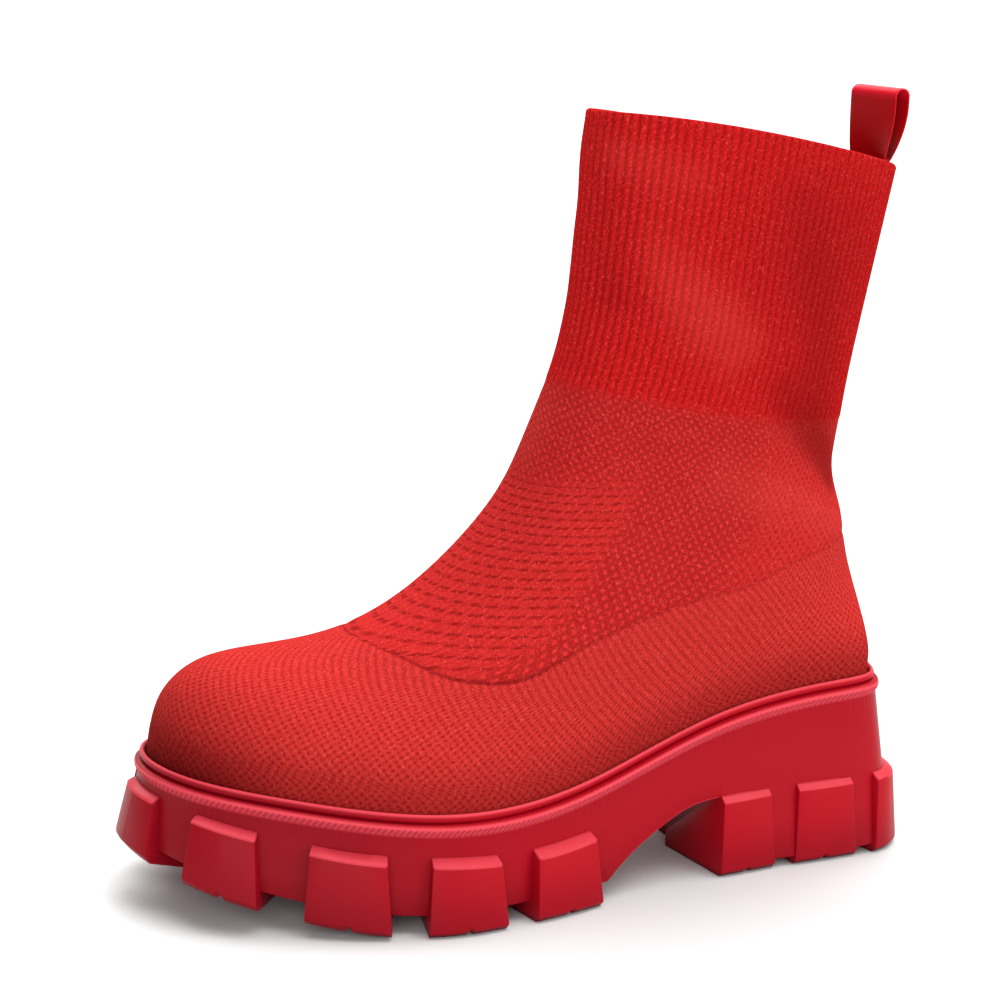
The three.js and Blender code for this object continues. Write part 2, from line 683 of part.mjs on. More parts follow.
const boot = new THREE.Group();
function addPiece(name, geometry, material) {
  const mesh = new THREE.Mesh(geometry, material);
  mesh.name = name;
  boot.add(mesh);
}

addPiece("sole", soleSolid(), red(0xb4202f, 0.45));
addPiece("insole", insoleSolid(), red(0x8f1d22, 0.9));
addPiece("upper", upperSolid(), red(0xc2262b, 0.95));
addPiece("pull_loop", pullLoopSolid(), red(0xa0101c, 0.5));

// The finished boot is centred over the middle of the box round it.
const middle = new THREE.Box3().setFromObject(boot).getCenter(new THREE.Vector3());
boot.position.set(-middle.x, -middle.y, 0);

export default boot;
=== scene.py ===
"""The looks of a knitted sock boot on a chunky lugged sole with a block heel.

Shapes are worked out in millimetres in the boot's own drawing frame: x = 0 is the heel's middle line,
y = 0 lies near the middle of the sole's rim, the toe points along -Y and the outer side is +X.
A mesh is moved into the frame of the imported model, in metres, when it is made.
"""

import math

import bmesh
import bpy
import numpy as np
from mathutils import Matrix, Vector
from mathutils.kdtree import KDTree


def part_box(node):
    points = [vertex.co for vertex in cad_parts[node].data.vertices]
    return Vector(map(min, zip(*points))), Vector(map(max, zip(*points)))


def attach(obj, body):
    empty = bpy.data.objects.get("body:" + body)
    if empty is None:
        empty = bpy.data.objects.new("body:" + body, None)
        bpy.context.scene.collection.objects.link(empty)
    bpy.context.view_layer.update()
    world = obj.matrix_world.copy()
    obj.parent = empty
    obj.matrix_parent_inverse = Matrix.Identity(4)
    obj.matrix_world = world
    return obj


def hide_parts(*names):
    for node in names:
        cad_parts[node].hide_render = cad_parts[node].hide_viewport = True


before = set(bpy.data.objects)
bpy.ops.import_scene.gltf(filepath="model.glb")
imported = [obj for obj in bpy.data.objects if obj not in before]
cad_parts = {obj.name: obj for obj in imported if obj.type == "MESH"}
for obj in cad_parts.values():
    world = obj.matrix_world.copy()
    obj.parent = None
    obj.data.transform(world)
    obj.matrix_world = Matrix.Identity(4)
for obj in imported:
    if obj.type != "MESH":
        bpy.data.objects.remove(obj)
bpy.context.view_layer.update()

MM = 0.001

# Sizes of the sole
SOLE_LENGTH = 265.2
BALL_WIDTH = 99.2
PLATFORM_HEIGHT = 35.8
HEEL_HEIGHT = 59.4
TOE_LIFT = 9.3
TOE_SPRING = 16
FLAT_END = -52
BREAST_PLACE = 55.4
ARCH_HEIGHT = 27.5
ARCH_START = 9
WALL_FLARE = 1.8
TOE_FLARE = 3.4
HEEL_FLARE = 2.9
LIP_RISE = 4.1
RIM_WIDTH = 3.6
RECESS_DEPTH = 4.5
WALL_TOP_OUT = -0.3  # share of the rim's width
WALL_TOP_UP = -0.85  # share of the lip's rise
BOTTOM_ROUND = 0.8
BOTTOM_CORNER = 0.3  # share of the rounding where its one corner lies
SLIVER = 0.1  # half the gap between the stations before and behind the heel's front face

# The rim's wide band, groove and lip, as shares of its width and of the lip's rise, and the degrees that
# the band and the lip turn through
BAND_MIDDLE = (-0.3, -0.2)
BAND_RADII = (0.3, 0.42)
BAND_TURN = (-75, 78)
GROOVE_PLACE = (-0.8, 0.27)
LIP_MIDDLE = (-0.75, 0.68)
LIP_RADII = (0.25, 0.34)
LIP_TURN = (-48, 168)

# The slanting nicks in the band's lower edge
ROPE_PITCH = 2
ROPE_DEPTH = 0.8
ROPE_SLANT = 1.8
ROPE_LOW = 0.35  # this and the next: how the nicks fade out up the band
ROPE_FADE = 1.1

# The painted highlight on the beads and the painted shade in the groove and nicks: heights as shares of the
# lip's rise above the bead's line, and strengths
BAND_LOW = -0.68
BAND_HIGH = 0.16
GROOVE_TOP = 0.48
LIP_LOW = 0.8
NICK_TOP = -0.1
BEAD_FADE = 0.1
LIP_PAINTED_HIGHLIGHT = 0.8
GROOVE_PAINTED_SHADE = 0.15
NICK_PAINTED_SHADE = 0.6

# The painted shade on the wall, the painted highlight on the lug slopes, and the fine serrated line above the
# arch's edge, painted as a highlight
WALL_PAINTED_SHADE = 0.18
WALL_REACH = 0.2  # what stands out further than this isn't painted as wall
SLOPE_LOW = 0.5  # how far below a lug's top slope its lighter paint goes, and how far above
SLOPE_HIGH = 0.3
SLOPE_TILT = 0.25  # least upward tilt of a face of the slope
SLOPE_OUT = 0.05
ARCH_BEAD = 0.24
ARCH_BEAD_HALF = 0.16
ARCH_BEAD_FRONT = 4  # how far inside the arch's ends the line stops
ARCH_BEAD_BACK = 1

# Sizes of the tread
TREAD_DEPTH = 6
HEEL_TREAD_DEPTH = 3
LUG_WIDTH = 25
LUG_TAPER = 1.6
LUG_OUT = 5.4
LUG_SLOPE = 2
LUG_BULGE = 0.5  # how far the middle of a lug's face swells
LUG_LEDGE = 0.5
LUG_EDGE = 2
LUG_REACH = 20
LUG_ROOT = 3
LUG_NOTCH = 1.3  # the small notch in the middle of a lug's underside
LUG_NOTCH_HALF = 1.1
LUG_NOTCH_FLAT = 0.4  # share of the notch that has its full height
LUG_NOTCH_FACE = 0.6  # share of its height at the lug's face
LUG_BEVEL = 0.65
BAR_LENGTH = 15

# Sizes of the upper, insole and pull loop
FRONT_RISE = 212.9
BACK_RISE = 178
SHAFT_WIDTH = 59
WALL = 2
CLEARANCE = 0.45
INSOLE_THICKNESS = 3
INSOLE_ROUND = 1
INSOLE_EASE = 0.4
SHAFT_DEPTH = 110  # from the front to the back at the collar
COLLAR_CROWN = 2.2
COLLAR_SIDE_LIFT = 1.4
COLLAR_DROP = 0.021  # in sections, so that the rolled edge ends at the collar's height
COLLAR_EDGE = 0.03  # in sections, from the last row of the outer face up to the rolled edge
LOOP_WIDTH = 21
RIBBON = 1.1
LOOP_RISE = 27
LOOP_TAIL = 11
LOOP_OPENING = 3.6
LOOP_EASE = 0.8
LOOP_PART = 2
LOOP_TURN = 0.24
LOOP_LEAN = 0.03
LOOP_FREE = 21
LOOP_SWELL = 0.6
LOOP_STRAND = 0.6  # thickness of one strand of the ribbon, which shows at its edges
LOOP_BEVEL = 0.22

# The plan of the rim's bead from the back of the heel round by the outer side:
# share of the sole's length, share of the ball width
SOLE_OUTLINE = [
    (0.479, 0), (0.4735, 0.185), (0.452, 0.313), (0.377, 0.354), (0.038, 0.445), (-0.196, 0.526),
    (-0.377, 0.315), (-0.471, 0.116), (-0.5075, -0.137), (-0.475, -0.395), (-0.365, -0.505),
    (-0.21, -0.484), (0, -0.35), (0.377, -0.345), (0.452, -0.308), (0.4735, -0.185),
]
TOE_ROW = 8

# Share of the length, share of the rise to the heel, share of the lift at the toe
BEAD_LINE = [(-0.5, 0, 1), (-0.226, 0, 0), (0.019, 0.118, 0), (0.2, 0.68, 0), (0.5, 1, 0)]

# Underside of the arch: share of the way back to the heel's front face, share of the height
ARCH_LINE = [(0, 0), (0.2, 0.34), (0.4, 0.6), (0.74, 0.93), (1, 1)]

# Tops of the lugs: share of the length, share of the platform's height
LUG_TOP_LINE = [
    (-0.5, 1.1), (-0.31, 0.79), (-0.17, 0.7), (-0.07, 0.665), (0.01, 0.71), (0.2, 0.785), (0.5, 0.79),
]

# The lugs of one side: share of the way round to the toe, then shares of the lug's width, of how far it
# stands out and of how far it runs in, and how much of its standing out it has under its top slope
LUG_PLACES = [
    (0, 0.9, 1.4, 0.8, 0.65), (0.088, 0.94, 1.4, 0.55, 0.65), (0.179, 0.92, 1.1, 0.8, 0.65),
    (0.274, 0.9, 1, 1.55, 0.65), (0.513, 1.05, 1.1, 1, 0.65), (0.629, 1.06, 1.05, 1, 0.65),
    (0.75, 1.1, 1.15, 1, 0.65), (0.877, 0.98, 1.35, 1, 0.5), (1, 1.04, 1.22, 0.9, 0.42),
]

# Bars of the middle tread: share of the length, half their width as a share of the ball width
TREAD_BARS = [(-0.34, 0.13), (-0.225, 0.22), (-0.115, 0.22), (0.28, 0.11), (0.385, 0.11)]

# The upper's sections from the lower edge to the collar: how far in and up at the front and at the back,
# half the leg's width as a share of the shaft's, and how square the leg's plan is
SECTION_COLUMNS = ("front_in", "front_up", "back_in", "back_up", "half", "full")
SECTIONS = [
    (0, 0, 0, 0, 0.6, 4.2),
    (0.008, 0.064, 0.0005, 0.033, 0.6, 4.2),
    (0.0175, 0.11, -0.0005, 0.058, 0.6, 4.2),
    (0.0365, 0.142, -0.001, 0.086, 0.59, 4.1),
    (0.078, 0.17, -0.0005, 0.12, 0.58, 4),
    (0.146, 0.1805, 0.0015, 0.16, 0.57, 3.8),
    (0.229, 0.19, 0.006, 0.208, 0.555, 3.5),
    (0.306, 0.223, 0.015, 0.271, 0.54, 3.1),
    (0.378, 0.291, 0.024, 0.347, 0.525, 2.7),
    (0.4525, 0.399, 0.03, 0.436, 0.51, 2.4),
    (0.4945, 0.507, 0.0265, 0.52, 0.5, 2.25),
    (0.532, 0.637, 0.012, 0.637, 0.495, 2.2),
    (0.549, 0.787, -0.011, 0.79, 0.495, 2.2),
    (0.5665, 1.008, -0.0435, 1, 0.5, 2.2),
]
LAST_SECTION = len(SECTIONS) - 1

# The front ridge: share of the length, share of the ball width from the middle line
RIDGE_LINE = [(-0.5, -0.135), (-0.3, -0.1), (-0.12, -0.06), (0.09, 0)]
FOOT_FULL = 2.3
RIDGE_DRAW = 1.5
HEEL_HOLD = 3
LOW_SECTIONS = 9
LEG_START_FRONT = 7
LEG_START_BACK = 1.5
LEG_START_TURN = 0.7
LEG_BLEND = 5
CROWN_SECTIONS = 4
CROWN_PLACE = 0.8
RIDGE_START = 1

# The seam from over the vamp down to the waist and up to the back of the heel:
# share of the sole's length, share of the front rise above the floor
SEAM_LINE = [
    (-0.24, 0.408), (-0.205, 0.394), (-0.17, 0.375), (-0.13, 0.3655), (-0.075, 0.366), (-0.03, 0.383),
    (0.02, 0.407), (0.08, 0.428), (0.18, 0.455), (0.25, 0.466), (0.32, 0.492), (0.4, 0.508), (0.5, 0.53),
]
SEAM_DEPTH = 0.4
SEAM_HALF = 1.4
SEAM_CLEAR_END = -25  # from here towards the heel the seam grows faint
SEAM_FADE = 45
SEAM_CHANGE = 1.6  # width in which one knit turns into the other
SEAM_REACH = 5
LEAST_STEEPNESS = 0.3

# The main creases of the outer side: two ends, half the width, and how far the cloth stands out there at
# the first end and at the second, with less than 0 for a trough
FOLDS = [
    ((29, 60, 181), (13.5, 109, 131), 10, -0.5, -3.1),
    ((30, 56, 136), (17, 107, 119), 11, 0.8, 1.5),
    ((17, 25, 219), (28.5, 62, 181), 13, 0.9, 1.7),
    ((12.5, 20, 226), (14, 22, 200), 10, -1.3, -1.3),
    ((28.5, 84, 236), (26, 98, 172), 16, -0.9, -1.2),
    ((15, 24, 245), (25, 44, 240), 11, 1.0, 0.8),
    ((4, 8, 160), (3, -4, 146), 8, 0.7, 0.7),
]
FOLD_INNER_SIDE = 0.6  # how strong the same creases are on the inner side, which the photo doesn't show
FOLD_FREE = 8  # below this distance under the collar the creases have their full depth

# Broad painted shade on the shaft and the ankle: middle, half the width and how dark
SOFT_SHADES = [((29, 100, 205), 42, 0.28), ((22, 98, 154), 16, 0.24)]

# Painted shade: how the knit darkens towards the rim and round the toe
RIM_SHADE = 0.4
SHADE_RISE = 20
TOE_SHADE = 0.42
TOE_SHADE_RISE = 44
TOE_SHADE_START = -88
TOE_SHADE_END = -128

# The ribbed shaft
RIBS = 92
RIB_COLUMNS = 6
COLUMNS = RIBS * RIB_COLUMNS
RIB_HEIGHT = 0.28
RIB_START_FRONT = 10.6
RIB_START_BACK = 9.9
RIB_FADE = 0.12

# The knit between the ribs and the seam: rows across the instep, slanting dashes, then a fine mesh
ROWS_END = 0.24  # shares of the way round from the front ridge to the back
ROWS_FADE = 0.06
ROWS_TOP = 132  # above this height the dashes reach the front
ROWS_TOP_FADE = 12
MESH_START = 0.56
MESH_FADE = 0.2
COURSE_LOW = 3.0  # height of a course low on the instep
COURSE_LOW_PLACE = 85
COURSE_HIGH = 2.2  # and high up at the ribs
COURSE_HIGH_PLACE = 165
MESH_WALES = 196  # round the foot
ANKLE_WALES = 110  # round the ankle
MESH_PITCH = 3  # up the cloth of the foot
STITCH = 2.7  # up a rib
YARN_UNEVEN = 0.22  # how far stitches stray, in turns of their pattern

# How finely the curves are cut
OUTER_ROWS = 146
INNER_ROWS = 26
FOLD_STEPS = 5
HIDDEN_ROW = 2  # how far the knit's pattern goes on with each row of the fold and the inner face
TABLE_STEPS = 4000
ARC_STEPS = 500
NUDGE = 0.05
SOLE_STATIONS = 1860
WALL_STEPS = 5
BAND_STEPS = 11
LIP_STEPS = 8
INSOLE_STATIONS = 360
INSOLE_EDGE_STEPS = 4
LOOP_STEPS = 28
LOOP_TOP_STEPS = 12
LOOP_TAIL_STEPS = 10
LOOP_COLUMNS = 15

# Angles in degrees above which an edge is rounded or stays sharp
SOFT_EDGE = 25
SOLE_SHARP = 32
SMALL_SHARP = 40

# Half the floor's width and the camera's place in metres, its angles in degrees, its lens in millimetres
FLOOR_REACH = 6
CAMERA_PLACE = (0.84468, -0.38196, 0.349)
CAMERA_HEADING = 66.198  # round from looking along +Y
CAMERA_PITCH = 13.362  # down
CAMERA_ROLL = 0.634
CAMERA_LENS = 101.67
SENSOR = 36

# The soft suns: name, direction from the boot to the lamp, spread in degrees, strength
SUNS = [
    ("front", (0.85, -0.5, 0.3), 50, 1.8),
    ("heel", (0.78, 0.55, 0.32), 50, 1.55),
    ("back", (-0.6, 0.1, 0.8), 60, 3.8),
    ("top", (0.05, 0.3, 0.94), 60, 3.45),
]
WORLD_STRENGTH = 0.4


def mix(a, b, t):
    return a + (b - a) * t


def smooth(t):
    t = np.clip(t, 0, 1)
    return t * t * (3 - 2 * t)


def spline(x, y, closed=False):
    """A function through knots, going on straight past its ends, or one that closes on itself."""
    x = np.asarray(x, float)
    y = np.asarray(y, float)
    step = np.diff(x)
    rise = np.diff(y) / step
    n = len(x) - 1 if closed else len(x)
    a = np.zeros((n, n))
    b = np.zeros(n)
    for i in range(n):
        if closed or 0 < i < n - 1:
            before = step[i - 1]
            after = step[i]
            a[i, (i - 1) % n] += after
            a[i, i] += 2 * (before + after)
            a[i, (i + 1) % n] += before
            b[i] = 3 * (after * rise[i - 1] + before * rise[i])
        else:
            edge = 0 if i == 0 else n - 2
            a[i, i] = 2
            a[i, 1 if i == 0 else n - 2] = 1
            b[i] = 3 * rise[edge]
    m = np.linalg.solve(a, b)
    if closed:
        m = np.append(m, m[0])

    def line(value):
        value = np.asarray(value, float)
        i = np.clip(np.searchsorted(x, value) - 1, 0, len(x) - 2)
        h = step[i]
        t = (value - x[i]) / h
        start = (1 + 2 * t) * (1 - t) ** 2 * y[i] + t * (1 - t) ** 2 * h * m[i]
        end = t * t * (3 - 2 * t) * y[i + 1] + t * t * (t - 1) * h * m[i + 1]
        inside = start + end
        inside = np.where(value <= x[0], y[0] + m[0] * (value - x[0]), inside)
        return np.where(value >= x[-1], y[-1] + m[-1] * (value - x[-1]), inside)

    return line


def table_line(rows, value_column, from_scale, to_scale):
    rows = np.array(rows, float)
    return spline(rows[:, 0] * from_scale, rows[:, value_column] * to_scale)


# The bead's plan by distance round it
outline = np.array(SOLE_OUTLINE + SOLE_OUTLINE[:1], float) * (SOLE_LENGTH, BALL_WIDTH)
plan_at = np.concatenate([[0], np.cumsum(np.hypot(*np.diff(outline, axis=0).T))])
x_round = spline(plan_at, outline[:, 1], closed=True)
y_round = spline(plan_at, outline[:, 0], closed=True)
toe_at = plan_at[TOE_ROW]
round_length = plan_at[-1]


def plan_point(at, out):
    """A point of the plan at a distance round it, moved out along its normal."""
    t = np.mod(at, round_length)
    before = np.mod(t - NUDGE, round_length)
    after = np.mod(t + NUDGE, round_length)
    turn_x = x_round(after) - x_round(before)
    turn_y = y_round(after) - y_round(before)
    length = np.hypot(turn_x, turn_y)
    return x_round(t) - turn_y / length * out, y_round(t) + turn_x / length * out


# Heights along the boot
heel_part = table_line(BEAD_LINE, 1, SOLE_LENGTH, HEEL_HEIGHT - PLATFORM_HEIGHT)
toe_part = table_line(BEAD_LINE, 2, SOLE_LENGTH, TOE_LIFT)
toe_round = table_line(BEAD_LINE, 2, SOLE_LENGTH, 1)
heel_round = table_line(BEAD_LINE, 1, SOLE_LENGTH, 1)
arch_rise = table_line(ARCH_LINE, 1, BREAST_PLACE - ARCH_START, ARCH_HEIGHT - TREAD_DEPTH)
lug_top = table_line(LUG_TOP_LINE, 1, SOLE_LENGTH, PLATFORM_HEIGHT)


def bead_height(y):
    return PLATFORM_HEIGHT + heel_part(y) + toe_part(y)


def bed_height(y):
    return bead_height(y) + LIP_RISE - RECESS_DEPTH


def floor_line(y):
    return TOE_SPRING * np.maximum(0, (FLAT_END - y) / (SOLE_LENGTH / 2 + FLAT_END)) ** 2


def underside(y, behind_breast):
    arch = TREAD_DEPTH + arch_rise(y - ARCH_START)
    tread = floor_line(y) + TREAD_DEPTH
    return np.where(behind_breast, HEEL_TREAD_DEPTH, np.where(y > ARCH_START, arch, tread))


def wall_out(y, z):
    """How far the side wall stands out from the bead's line at a height."""
    top = bead_height(y) + WALL_TOP_UP * LIP_RISE
    at_toe = np.clip(toe_round(y), 0, 1)
    at_heel = np.clip(heel_round(y), 0, 1)
    flare = WALL_FLARE + TOE_FLARE * at_toe + HEEL_FLARE * at_heel
    return WALL_TOP_OUT * RIM_WIDTH + flare * np.maximum(0, top - z) / PLATFORM_HEIGHT


# The upper's lower edge inside the lip, and the lines of its sections
EDGE_OUT = -RIM_WIDTH - CLEARANCE
outer_at = np.linspace(0, toe_at, TABLE_STEPS)
inner_at = np.linspace(round_length, toe_at, TABLE_STEPS)
outer_edge_x, outer_edge_y = plan_point(outer_at, EDGE_OUT)
inner_edge_x, inner_edge_y = plan_point(inner_at, EDGE_OUT)
edge_heel = float(outer_edge_y[0])
edge_toe = float(outer_edge_y[-1])


def edge_x(y, outer):
    xs, ys = (outer_edge_x, outer_edge_y) if outer else (inner_edge_x, inner_edge_y)
    return np.interp(y, ys[::-1], xs[::-1])


section_rows = np.array(SECTIONS, float)
section_index = np.arange(len(SECTIONS))


def section_line(name, scale=1):
    return spline(section_index, section_rows[:, SECTION_COLUMNS.index(name)] * scale)


front_in = section_line("front_in", SOLE_LENGTH)
back_in = section_line("back_in", SOLE_LENGTH)
front_share = section_line("front_up")
back_share = section_line("back_up")
ring_half = section_line("half", SHAFT_WIDTH)
ring_full = section_line("full")
ridge_x = table_line(RIDGE_LINE, 1, SOLE_LENGTH, BALL_WIDTH)


def edge_height(y):
    return bed_height(y) + CLEARANCE


def front_y(s):
    return edge_toe + front_in(s)


def back_y(s):
    return edge_heel - back_in(s)


def front_z(s):
    return edge_height(edge_toe) + front_share(s) * FRONT_RISE


def back_z(s):
    return edge_height(edge_heel) + back_share(s) * BACK_RISE


ridge_s = np.linspace(RIDGE_START, LAST_SECTION, TABLE_STEPS)
ridge_table_y = front_y(ridge_s)
ridge_table_z = front_z(ridge_s)


def ridge_height(y):
    inside = np.interp(y, ridge_table_y, ridge_table_z)
    beyond = ridge_table_z[-1] + (y - ridge_table_y[-1]) * FRONT_RISE / SHAFT_WIDTH
    return np.where(y >= ridge_table_y[-1], beyond, inside)


def upper_point(s, share, side):
    """A point of the upper's outer face: s counts sections, share is 0 at the front and 1 at the back."""
    y = mix(front_y(s), back_y(s), share)
    level = mix(front_z(s), back_z(s), share)
    edge_level = mix(edge_height(edge_toe), edge_height(edge_heel), share)
    low = 1 - smooth(s / LOW_SECTIONS)
    edge_place = mix(edge_toe, edge_heel, share)
    crown_start = LAST_SECTION - CROWN_SECTIONS
    crown = smooth((s - crown_start) / CROWN_SECTIONS) * (1 - (2 * share**CROWN_PLACE - 1) ** 2)
    crown *= COLLAR_CROWN + side * COLLAR_SIDE_LIFT
    z = level + (edge_height(edge_place) - edge_level) * low + crown

    plan_place = y + back_in(s) * share**HEEL_HOLD
    outer_x = edge_x(plan_place, True)
    inner_x = edge_x(plan_place, False)
    base = edge_height(plan_place)
    up = np.clip((z - base) / (ridge_height(y) - base), 0, 1)
    foot_square = ((outer_x - inner_x) / 2) ** 2 * (1 - up**FOOT_FULL)
    foot_middle = mix((outer_x + inner_x) / 2, ridge_x(y), up**RIDGE_DRAW)

    leg_square = ring_half(s) ** 2 * (1 - np.abs(2 * share - 1) ** ring_full(s))
    leg_start = mix(LEG_START_FRONT, LEG_START_BACK, share**LEG_START_TURN)
    leg_part = smooth((s - leg_start) / LEG_BLEND)
    half = np.sqrt(np.maximum(0, mix(foot_square, leg_square, leg_part)))
    return np.stack([mix(foot_middle, 0, leg_part) + side * half, y, z], axis=-1)


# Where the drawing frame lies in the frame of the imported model, from the insole that both of them hold
insole_out = EDGE_OUT - WALL - CLEARANCE - INSOLE_EASE
insole_x, insole_y = plan_point(np.linspace(0, round_length, TABLE_STEPS), insole_out)
low_corner, high_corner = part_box("insole")
shift = np.array([
    (low_corner.x + high_corner.x) / 2 / MM - (insole_x.min() + insole_x.max()) / 2,
    (low_corner.y + high_corner.y) / 2 / MM - (insole_y.min() + insole_y.max()) / 2,
    0,
])


def make_mesh(name, points, faces):
    """A mesh object from points in the drawing frame and faces as lists of point numbers."""
    mesh = bpy.data.meshes.new(name)
    moved = (np.asarray(points, float).reshape(-1, 3) + shift) * MM
    mesh.from_pydata(moved.tolist(), [], faces)
    mesh.update()
    piece = bpy.data.objects.new(name, mesh)
    bpy.context.scene.collection.objects.link(piece)
    return piece


def shade(piece, angle):
    """Smooth shading with edges sharper than an angle kept."""
    piece.data.shade_smooth()
    piece.data.set_sharp_from_angle(angle=math.radians(angle))


def strips(rings, around, close=False):
    """Quads between rings of equal length, and from the last ring to the first where the skin closes."""
    i = np.arange(rings if close else rings - 1)[:, None]
    j = np.arange(around)[None, :]
    k = (j + 1) % around
    above = (i + 1) % rings
    quads = np.stack([i * around + j, i * around + k, above * around + k, above * around + j], axis=-1)
    return quads.reshape(-1, 4)


def prism_faces(rings, around):
    """Quads between rings, and one face across each end."""
    ends = [list(range(around))[::-1], list(range((rings - 1) * around, rings * around))]
    return strips(rings, around).tolist() + ends


def plan_faces(rings, around):
    """Quads between rings round the plan from the heel by the toe and back, and across both ends."""
    faces = strips(rings, around).tolist()
    last = (rings - 1) * around
    for i in range(around // 2):
        across = sorted({i, i + 1, around - i - 1, (around - i) % around})
        faces += [[last + k for k in across], across[::-1]]
    return faces


# The sole
def sole_stations():
    """Distances round the plan, a pair of them at each end of the heel's front face, and which lie behind."""
    outer_breast = np.interp(-BREAST_PLACE, -y_round(outer_at), outer_at)
    inner_breast = np.interp(-BREAST_PLACE, -y_round(inner_at), inner_at)
    half = SOLE_STATIONS // 2
    heel_steps = round(half * outer_breast / toe_at)
    sides = []
    for start, breast in ((0, outer_breast), (round_length, inner_breast)):
        heel = np.linspace(start, breast, heel_steps + 1)
        foot = np.linspace(breast, toe_at, half - heel_steps + 1)
        sides.append((heel, foot))
    (heel_out, foot_out), (heel_in, foot_in) = sides
    at = np.concatenate([heel_out, foot_out, foot_in[-2::-1], heel_in[:0:-1]])
    behind = np.concatenate([
        np.ones(len(heel_out), bool), np.zeros(len(foot_out), bool),
        np.zeros(len(foot_in) - 1, bool), np.ones(len(heel_in) - 1, bool),
    ])
    return at, behind


def sole_body():
    at, behind = sole_stations()
    around = len(at)
    breast_outer = np.nonzero(np.diff(behind.astype(int)) == -1)[0][0]
    breast_inner = np.nonzero(np.diff(behind.astype(int)) == 1)[0][0]
    on_breast = np.zeros(around, bool)
    on_breast[[breast_outer, breast_outer + 1, breast_inner, breast_inner + 1]] = True
    breast_y = BREAST_PLACE + np.where(behind, SLIVER, -SLIVER)

    def ring(out, height):
        x, y = plan_point(at, out)
        y = np.where(on_breast, breast_y, y)
        return np.stack([x, y, height(y)], axis=-1)

    line_y = plan_point(at, 0)[1]
    place_y = np.where(on_breast, breast_y, line_y)
    bottom_z = underside(place_y, behind)

    def wall_ring(z, inset):
        x, y = plan_point(at, wall_out(line_y, z) - inset)
        return np.stack([x, np.where(on_breast, breast_y, y), z], axis=-1)

    corner = BOTTOM_CORNER * BOTTOM_ROUND
    rings = [wall_ring(bottom_z, BOTTOM_ROUND), wall_ring(bottom_z + corner, corner)]
    wall_top = bead_height(place_y) + WALL_TOP_UP * LIP_RISE
    for step in range(WALL_STEPS):
        rings.append(wall_ring(mix(bottom_z + BOTTOM_ROUND, wall_top, step / (WALL_STEPS - 1)), 0))

    def rim_ring(out, up):
        return ring(out * RIM_WIDTH, lambda y: bead_height(y) + up * LIP_RISE)

    for angle in np.radians(np.linspace(*BAND_TURN, BAND_STEPS)):
        low = smooth(ROPE_LOW - np.sin(angle) * ROPE_FADE)
        up = BAND_MIDDLE[1] + BAND_RADII[1] * np.sin(angle)
        turn = 2 * np.pi * (at / ROPE_PITCH + up * ROPE_SLANT)
        rope = ROPE_DEPTH / RIM_WIDTH * low * (0.5 - 0.5 * np.cos(turn))
        out = BAND_MIDDLE[0] + (BAND_RADII[0] - rope) * np.cos(angle)
        rings.append(rim_ring(out, up))
    rings.append(rim_ring(*GROOVE_PLACE))
    for angle in np.radians(np.linspace(*LIP_TURN, LIP_STEPS)):
        out = LIP_MIDDLE[0] + LIP_RADII[0] * np.cos(angle)
        rings.append(rim_ring(out, LIP_MIDDLE[1] + LIP_RADII[1] * np.sin(angle)))
    rings.append(ring(-RIM_WIDTH, bed_height))
    return make_mesh("sole_rubber", np.concatenate(rings), plan_faces(len(rings), around))


def lug(at, width, out, reach, lean):
    """One lug: its section in the plane across the edge, carried along the edge, with a notch below."""
    middle_y = plan_point(at, 0)[1]
    top = float(lug_top(middle_y))
    foot = float(floor_line(middle_y))
    depth = HEEL_TREAD_DEPTH if middle_y > BREAST_PLACE else TREAD_DEPTH
    half_width = width * LUG_WIDTH / 2
    notch = LUG_NOTCH_HALF / half_width
    flat = LUG_NOTCH_FLAT * notch
    shares = [-1, -0.6, -0.25, -notch, -flat, flat, notch, 0.25, 0.6, 1]
    points = []
    for share in shares:
        raised = LUG_NOTCH if abs(share) <= flat else 0

        def place(side, height, lift=0):
            level = height(plan_point(at, side)[1])
            half = half_width - LUG_TAPER * (level - foot) / (top - foot)
            x, y = plan_point(at + share * half, side)
            points.append([float(x), float(y), float(height(y)) + lift])

        on_wall = float(wall_out(middle_y, top))
        swell = LUG_BULGE * (1 - share * share)
        place(on_wall - LUG_ROOT, lug_top)
        place(on_wall + LUG_LEDGE, lug_top)
        place(mix(on_wall, LUG_OUT * out, lean) + swell, lambda y: lug_top(y) - LUG_SLOPE)
        place(LUG_OUT * out + swell, lambda y: floor_line(y) + LUG_EDGE, LUG_NOTCH_FACE * raised)
        place(LUG_OUT * out - LUG_EDGE, floor_line, raised)
        place(-LUG_REACH * reach, floor_line, raised)
        place(-LUG_REACH * reach, lambda y: floor_line(y) + depth + LUG_ROOT)
    return make_mesh("lug", points, prism_faces(len(shares), len(points) // len(shares)))


def tread_bar(y, half):
    outer = np.interp(-y, -y_round(outer_at), x_round(outer_at))
    inner = np.interp(-y, -y_round(inner_at), x_round(inner_at))
    points = []
    for up in (0, TREAD_DEPTH + LUG_ROOT):
        for side, end in ((-1, -1), (1, -1), (1, 1), (-1, 1)):
            place = y + end * BAR_LENGTH / 2
            points.append([(outer + inner) / 2 + side * half, place, float(floor_line(place)) + up])
    return make_mesh("bar", points, prism_faces(2, 4))


def soften_edges(piece, width):
    """Turns all faces outward and rounds the sharper edges."""
    bm = bmesh.new()
    bm.from_mesh(piece.data)
    bmesh.ops.recalc_face_normals(bm, faces=bm.faces)
    sharp = [e for e in bm.edges if e.is_manifold and e.calc_face_angle() > math.radians(SOFT_EDGE)]
    bmesh.ops.bevel(bm, geom=sharp, offset=width * MM, segments=2, profile=0.6, affect="EDGES")
    bm.to_mesh(piece.data)
    bm.free()


